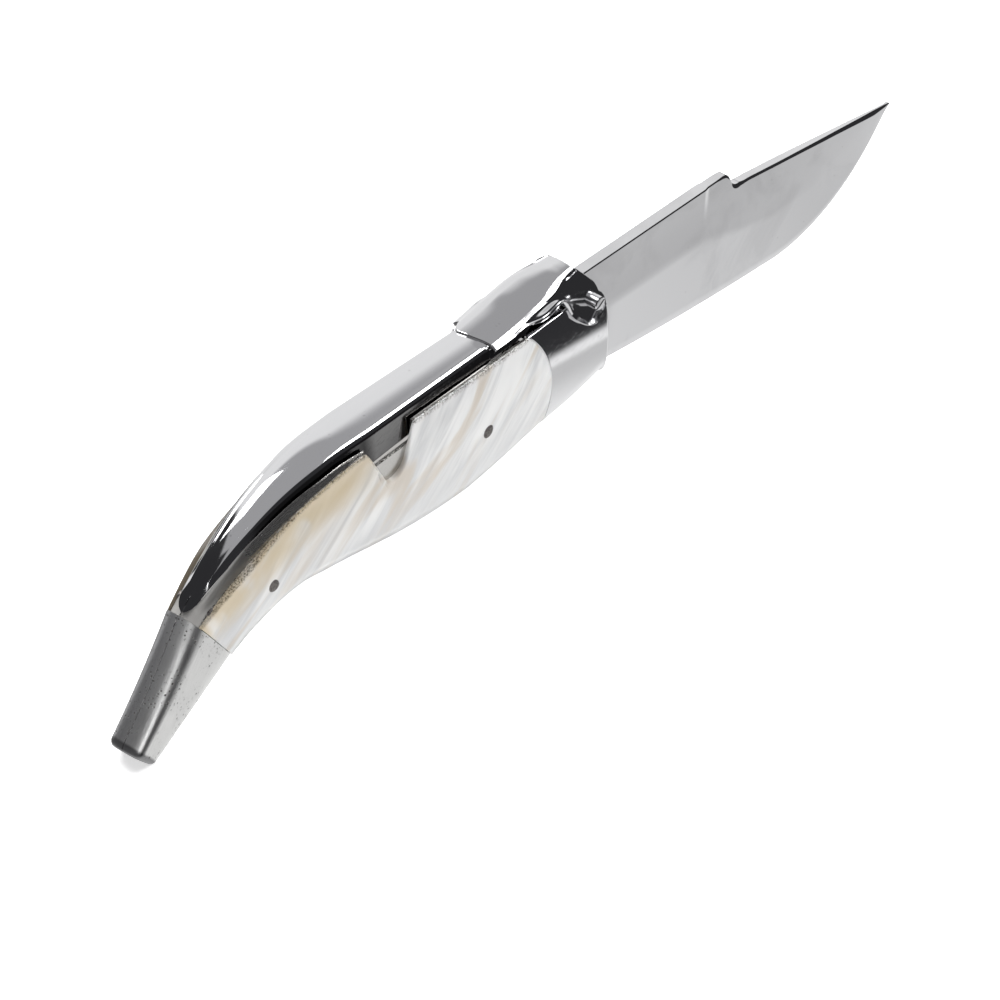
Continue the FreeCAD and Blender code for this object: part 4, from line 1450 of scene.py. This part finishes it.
@dataclass
class FrontBolsters(SubAssembly):
    """The two polished cheeks at the front."""

    low_rise: float = 0.35
    low_round: float = 1.5
    top_round: float = 0.35
    end_round: float = 0.18
    seat: Pair = (4.2, -2.0)
    corner: float = 3.4
    corner_bow: float = 0.25
    front_rise: float = 0.2
    foot: Pair = (1.5, 1.7)
    foot_drop: float = 0.3
    foot_rise: float = 0.4

    def build(self, metal: bpy.types.Material) -> None:
        """Make both cheeks.

        Args:
            metal: their finish.
        """
        corner = (FORM.front_x - self.corner, FORM.top)
        shoulder = (FORM.front_x, FORM.top - self.corner)
        top = with_fine_ends(even(corner, FORM.joint_top, 0.8))
        foot = (FORM.front_x, FORM.front_low + self.foot[1])
        start = (FORM.front_x - self.foot[0], FORM.front_low - self.foot_drop)
        low = bow(start, FORM.joint_low, self.low_rise, 40)
        front = chain(bow(corner, shoulder, self.corner_bow * self.corner, 20),
                      bow(shoulder, foot, self.front_rise, 30), bow(foot, start, self.foot_rise, 14))
        shape = PlateShape(top, low, front, FORM.front_joint(), self.top_round, self.low_round,
                           self.end_round, 26)
        for side in Side:
            sections = shape.sections(side, FORM.outer, FORM.cheek_inside, self.seat)
            piece = new_piece(f"knife_{side.word}_front_bolster", loft(sections), PLATE_CREASE_DEG)
            self.add(piece, Body.HANDLE, "bolster_metal", metal, f"{side.word}_front_bolster")


@dataclass
class Scales(SubAssembly):
    """The pearl scales, the liners under them and the pins that hold them."""

    notch_front_x: float = -50.4
    notch_rear_x: float = -62.3
    notch_front_foot: Pair = (-52.0, -6.6)
    notch_rear_foot: Pair = (-59.7, -6.6)
    notch_bow: float = 3.5
    notch_front_lean: float = 0.25
    notch_rear_lean: float = 0.35
    lip: float = 0.8
    lip_bow: float = 0.22
    liner_notch: tuple[Pair, Pair] = ((-50.3, -5.2), (-62.4, -5.5))
    liner_lean: float = 0.1
    top_round: float = 0.3
    low_round: float = 1.7
    end_round: float = 0.1
    scale_edge: float = 0.04
    liner_round: float = 0.12
    liner_end_round: float = 0.05
    pins: tuple[tuple[str, Pair], ...] = (("front", (-30.7, -13.9)), ("rear", (-84.3, -16.0)))
    pin_radius: float = 1.35
    pin_steps: tuple[Triple, ...] = ((-0.12, 1.0, 0.0), (0.03, 1.0, -0.14), (0.07, 0.5, 0.0))

    def plain_back(self) -> np.ndarray:
        """The back edge with no notch."""
        return with_fine_ends(chain(even(FORM.joint_top, FORM.back_bend, 1.3), FORM.back()))

    def notched_back(self) -> np.ndarray:
        """The back edge of the left scale, with its U notch.

        Returns:
            The edge's points from the front joint to the rear one.
        """
        below = FORM.top - self.lip
        lead = (self.notch_front_x + self.lip, FORM.top)
        front = (self.notch_front_x - self.notch_front_lean, below)
        rear = (self.notch_rear_x + self.notch_rear_lean, below)
        tail = FORM.back_behind(self.notch_rear_x - self.lip, 0.2)
        return with_fine_ends(chain(
            even(FORM.joint_top, lead, 1.3), bow(lead, front, -self.lip_bow, 6),
            even(front, self.notch_front_foot, 0.5),
            bow(self.notch_front_foot, self.notch_rear_foot, self.notch_bow, 30),
            even(self.notch_rear_foot, rear, 0.5), bow(rear, tuple(tail[0]), -self.lip_bow, 6), tail))

    def notched_liner_back(self) -> np.ndarray:
        """The back edge of the left liner, cut lower along the notch.

        Returns:
            The edge's points from the front joint to the rear one.
        """
        front, rear = self.liner_notch
        lead = (front[0] + self.liner_lean, FORM.top)
        tail = FORM.back_behind(rear[0] - self.liner_lean, 0.3)
        return with_fine_ends(chain(
            even(FORM.joint_top, lead, 1.3), even(lead, front, 0.6), even(front, rear, 0.8),
            even(rear, tuple(tail[0]), 0.6), tail))

    def build(self, pearl: bpy.types.Material, liner: bpy.types.Material, pin: bpy.types.Material) -> None:
        """Make the scales, liners and pins of both sides.

        Args:
            pearl: the scales' finish.
            liner: the liners' finish.
            pin: the pins' finish.
        """
        for side in Side:
            self._build_side(side, pearl, liner, pin)

    def _build_side(self, side: Side, pearl: bpy.types.Material, liner: bpy.types.Material,
                    pin: bpy.types.Material) -> None:
        """Make one side.

        Args:
            side: the handle's side; only the left one is notched.
            pearl: the scale's finish.
            liner: the liner's finish.
            pin: the pins' finish.
        """
        notched = side is Side.LEFT
        edges = (FORM.belly(), FORM.front_joint(), FORM.rear_joint())
        scale_top = self.notched_back() if notched else self.plain_back()
        liner_top = self.notched_liner_back() if notched else self.plain_back()
        scale = PlateShape(scale_top, *edges, self.top_round, self.low_round, self.end_round)
        sheet = PlateShape(liner_top, *edges, self.liner_round, self.liner_round, self.liner_end_round, 8)
        outside = scale.sections(side, FORM.scale_outside, FORM.liner_outer, least=self.scale_edge)
        piece = new_piece(f"knife_{side.word}_scale", loft(outside), PLATE_CREASE_DEG)
        self.add(piece, Body.HANDLE, "pearl", pearl, f"{side.word}_scale")
        under = sheet.sections(side, FORM.liner_outer, FORM.liner_inside, dome=FORM.dome)
        piece = new_piece(f"knife_{side.word}_liner", loft(under), PLATE_CREASE_DEG)
        self.add(piece, Body.HANDLE, "liner_metal", liner, f"{side.word}_liner")
        for place, axis in self.pins:
            face = float(FORM.outer(np.array(axis[0]), np.array(axis[1])))
            profile = [(FORM.channel_half, self.pin_radius)]
            profile += [(face + rise, self.pin_radius * share + less) for rise, share, less in self.pin_steps]
            piece = new_piece(f"knife_{side.word}_{place}_scale_pin", turned(profile, axis, side.value))
            self.add(piece, Body.HANDLE, "pin_steel", pin, f"{side.word}_{place}_scale_pin")


@dataclass
class RearBolsters(SubAssembly):
    """The long tail, in two halves with a seam along its back."""

    back_start: Pair = (-101.7, -14.8)
    back_end: Pair = (-114.5, -34.2)
    back_rise: float = 0.5
    low_end: Pair = (-110.0, -38.6)
    halves: Pair = (3.95, 3.45)
    length: float = 22.0
    fine_ends: Triple = (0.08, 0.3, 0.7)
    joint_gap: float = 0.004
    seam: float = 0.04
    slot_half: float = 1.7
    slot_end: float = 0.9
    slot_roof: float = 0.34
    profile: tuple[Pair, ...] = (
        (0.0, 0.01), (0.045, 0.0), (0.4, 0.024), (0.7, 0.075), (0.86, 0.125), (0.95, 0.18), (0.99, 0.245),
        (1.0, 0.32), (1.0, 0.62), (1.0, 0.8), (0.985, 0.91), (0.94, 0.97), (0.86, 1.0))
    end_steps: tuple[Pair, ...] = ((0.35, 0.985), (0.75, 0.93), (1.05, 0.84), (1.15, 0.72))

    def sections(self, side: Side) -> np.ndarray:
        """Sections of one half from the joint to the rounded butt.

        Args:
            side: the handle's side.

        Returns:
            Array of shape (sections, points, 3).
        """
        shares = self.joint_gap + (1 - self.joint_gap) * graded(24, self.length, self.fine_ends)
        backs = along(bow(self.back_start, self.back_end, self.back_rise, 60), shares)
        lows = along(bow(FORM.rear_low, self.low_end, 0.0, 60), shares)
        outline = curve_through([(a, b, 0.0) for a, b in self.profile], 48)
        rows = []
        for share, back, low in zip(shares, backs, lows):
            half = self.halves[0] + (self.halves[1] - self.halves[0]) * share
            slot = self.slot_half if share < self.slot_end else self.seam
            rows.append(self._section(side, back, low, half, slot, outline))
        last, way = rows[-1], backs[-1] - backs[-2]
        way = np.array((way[0], 0.0, way[1])) / np.hypot(*way)
        middle = np.array((last[:, 0].mean(), side.value * self.halves[1] / 2, last[:, 2].mean()))
        for step, size in self.end_steps:
            shrunk = middle + (last - middle) * np.array((size, 1.0, size)) + way * step
            shrunk[:, 1] = side.value * self.seam + (last[:, 1] - side.value * self.seam) * size
            rows.append(shrunk)
        return np.array(rows)

    def _section(self, side: Side, back: np.ndarray, low: np.ndarray, half: float, slot_half: float,
                 outline: np.ndarray) -> np.ndarray:
        """One closed section.

        Args:
            side: the handle's side.
            back: the section's top in the side view.
            low: its foot there.
            half: half width of the tail.
            slot_half: half width of the slot for the folded blade.
            outline: shares of the depth and of the height round the outside.

        Returns:
            The section's points.
        """
        slot = [(slot_half, 1.0), (slot_half, self.slot_roof), (self.seam, self.slot_roof)]
        depth = np.concatenate([self.seam + (half - self.seam) * outline[:, 0], [y for y, _ in slot]])
        share = np.concatenate([outline[:, 1], [height for _, height in slot]])
        place = back + np.outer(share, low - back)
        return np.stack([place[:, 0], side.value * depth, place[:, 1]], 1)

    def build(self, metal: bpy.types.Material) -> None:
        """Make both halves.

        Args:
            metal: their finish.
        """
        for side in Side:
            piece = new_piece(f"knife_{side.word}_rear_bolster", loft(self.sections(side)), 50.0)
            self.add(piece, Body.HANDLE, "bolster_metal", metal, f"{side.word}_rear_bolster")


@dataclass
class Fittings(SubAssembly):
    """The small pieces inside the handle."""

    rivet_axis: Pair = (-97.2, -15.5)
    rivet_radius: float = 1.1
    rivet_reach: float = 3.6
    lift_axis: Pair = (-8.2, 1.2)
    lift_radius: float = 0.8
    lift_reach: float = 3.8
    chamfer: float = 0.15
    end_share: float = 0.9

    def build(self, pin: bpy.types.Material, brass: bpy.types.Material) -> None:
        """Dress the inner nodes and make the spring's rivet and the lift pin.

        Args:
            pin: finish of pins and rivets.
            brass: finish of the washers.
        """
        for node in ("pivot_pin", "tail_rivet", "left_bolster_pins", "right_bolster_pins"):
            self.keep(node, pin)
        for side in Side:
            self.keep(f"{side.word}_pivot_washer", brass)
        rivet = self._pin("knife_spring_rivet", self.rivet_axis, self.rivet_radius, self.rivet_reach)
        self.add(rivet, Body.HANDLE, "pin_steel", pin, "spring_rivet")
        lift = self._pin("knife_lift_pin", self.lift_axis, self.lift_radius, self.lift_reach)
        self.add(lift, Body.LEVER, "pin_steel", pin, "lift_pin")

    def _pin(self, name: str, axis: Pair, radius: float, reach: float) -> bpy.types.Object:
        """A cross pin with broken edges.

        Args:
            name: the pin's name.
            axis: its axis in the side view.
            radius: its radius.
            reach: half its length.

        Returns:
            The pin.
        """
        edge, end = reach - self.chamfer, self.end_share * radius
        return new_piece(name, turned(((-reach, end), (-edge, radius), (edge, radius), (reach, end)), axis))


# Studio


@dataclass(frozen=True)
class SoftBox:
    """A soft light aimed at the knife."""

    name: str
    way: Triple
    distance: float
    size: Pair
    power: float

    def build(self, target: Vector) -> None:
        """Hang the light.

        Args:
            target: the point that it faces.
        """
        lamp = bpy.data.lights.new(self.name, "AREA")
        lamp.shape = "RECTANGLE"
        lamp.size, lamp.size_y = self.size
        lamp.energy = self.power
        holder = bpy.data.objects.new(self.name, lamp)
        away = Vector(self.way).normalized()
        holder.location = target + away * self.distance
        holder.rotation_euler = away.to_track_quat("Z", "Y").to_euler()
        bpy.context.scene.collection.objects.link(holder)


@dataclass
class Studio:
    """White table, pale surroundings with a dark horizon, soft lights and the camera."""

    floor_half: float = 3.0
    backdrop: Triple = (1.25, 1.25, 1.25)
    ceiling: Triple = (0.56, 0.56, 0.57)
    shade: Triple = (0.042, 0.042, 0.045)
    dusk: Triple = (0.27, 0.27, 0.275)
    table: Triple = (1.15, 1.15, 1.15)
    table_edge: Triple = (0.78, 0.78, 0.78)
    floor_glow: float = 0.55
    floor_tones: tuple[Triple, Triple] = ((0.90, 0.90, 0.90), (0.94, 0.94, 0.94))
    ceiling_rise: Pair = (0.59, 0.74)
    table_rise: Pair = (-0.505, -0.53)
    behind_way: Triple = (0.72, -0.25, 0.436)
    under_way: Pair = (-0.848, -0.53)
    over_way: Pair = (-0.643, 0.766)
    aim: Triple = (0.0, 0.0, 0.025)
    camera_mm: Triple = (-592.669, -438.644, 564.182)
    camera_deg: Triple = (52.2534, -2.8841, -50.9021)
    lens: float = 191.675
    sensor: float = 36.0
    sight: float = 20.0
    lights: tuple[SoftBox, ...] = (
        SoftBox("softbox_front", (0.575, -0.2815, 0.7687), 0.60, (0.26, 0.26), 2.0),
        SoftBox("softbox_back", (-0.12, 0.62, 0.78), 0.60, (0.28, 0.28), 1.9),
        SoftBox("softbox_side", (-0.74, -0.54, 0.40), 0.90, (0.32, 0.32), 1.0),
    )

    def build(self) -> None:
        """Set up the stage, the light and the camera."""
        self._floor()
        self._surroundings()
        for light in self.lights:
            light.build(Vector(self.aim))
        self._camera()
        bpy.context.scene.view_settings.view_transform = "Standard"

    def _floor(self) -> None:
        """Lay the white table."""
        half = self.floor_half
        mesh = bpy.data.meshes.new("floor")
        corners = [(-half, -half, 0.0), (half, -half, 0.0), (half, half, 0.0), (-half, half, 0.0)]
        mesh.from_pydata(corners, [], [(0, 1, 2, 3)])
        floor = bpy.data.objects.new("floor", mesh)
        bpy.context.scene.collection.objects.link(floor)
        paint = Paint("white_table")
        colour = paint.blend(*self.floor_tones, paint.noise(0.02, 3.0))
        mesh.materials.append(paint.close(
            Base_Color=colour, Roughness=0.9, Specular_IOR_Level=0.0, Emission_Color=(1.0, 1.0, 1.0, 1.0),
            Emission_Strength=self.floor_glow))
        floor.visible_glossy = False

    def _surroundings(self) -> None:
        """Light from all round: bright table and backdrop, dark towards the camera, grey above."""
        world = bpy.data.worlds.new("studio")
        world.use_nodes = True
        bpy.context.scene.world = world
        sky = Sheet(world.node_tree)
        x, y, z = sky.parts(sky.node("ShaderNodeTexCoord", {}, {}).outputs["Generated"])
        ceiling = z.step(*self.ceiling_rise)
        behind = x * self.behind_way[0] + y * self.behind_way[1] + z * self.behind_way[2]
        window = y.step(0.90, 0.97) * z.step(0.35, 0.15) * x.step(-0.25, -0.10)
        rear_dark = behind.step(0.03, -0.03) * (1 - window)
        under, over = (y * way[0] + z * way[1] for way in (self.under_way, self.over_way))
        side_dark = under.lesser(over).step(-0.02, 0.03)
        table = z.step(*self.table_rise)
        colour = sky.blend(self.backdrop, self.ceiling, ceiling)
        shade = sky.blend(self.shade, self.dusk, behind.step(-0.35, -0.65))
        gap = x.step(0.72, 0.80) * z.step(-0.05, -0.15)
        colour = sky.blend(colour, shade, rear_dark.greater(side_dark).greater(gap))
        near = sky.blend(self.table_edge, self.table, z.step(-0.55, -0.70).greater(x.step(0.67, 0.80)))
        colour = sky.blend(colour, near, table)
        seen = Field(sky, sky.node("ShaderNodeLightPath", {}, {}).outputs["Is Camera Ray"])
        colour = sky.blend(colour, self.backdrop, seen)
        glow = sky.node("ShaderNodeBackground", {}, {"Color": colour})
        sky.node("ShaderNodeOutputWorld", {}, {0: glow.outputs[0]})

    def _camera(self) -> None:
        """Set the camera to the photograph's view."""
        lens = bpy.data.cameras.new("camera")
        lens.lens = self.lens
        lens.sensor_width = self.sensor
        lens.clip_end = self.sight
        camera = bpy.data.objects.new("camera", lens)
        camera.location = Vector(self.camera_mm) * MM
        camera.rotation_euler = Euler([math.radians(a) for a in self.camera_deg], "XYZ")
        bpy.context.scene.collection.objects.link(camera)
        bpy.context.scene.camera = camera


def main() -> None:
    """Build and dress the knife, then its studio."""
    blade_steel = SatinSteel("blade_steel").material()
    # The spring gets painted shade on its side walls.
    spring_steel = PolishedSteel("spring_steel", side_shade=0.8).material()
    lever_steel = PolishedSteel("lever_steel").material()
    bolster_steel = PolishedSteel("bolster_steel", (0.63, 0.63, 0.64), scratches=0.03, pits=0.25).material()
    cast = CastMetal("tail_metal").material()
    liner = LinerMetal("liner_metal").material()
    pin = PinMetal("pin_metal").material()
    bright_pin = PolishedSteel("bright_pin", gloss=0.18).material()
    brass = WasherBrass("washer_brass").material()
    pearl = Pearl("pearl").material()

    Blade().build(blade_steel)
    BackSpring().build(spring_steel)
    LockLever().build(lever_steel)
    LeverPin().build(bright_pin)
    FrontBolsters().build(bolster_steel)
    Scales().build(pearl, liner, pin)
    RearBolsters().build(cast)
    Fittings().build(pin, brass)
    Studio().build()


if __name__ == "__main__":
    main()
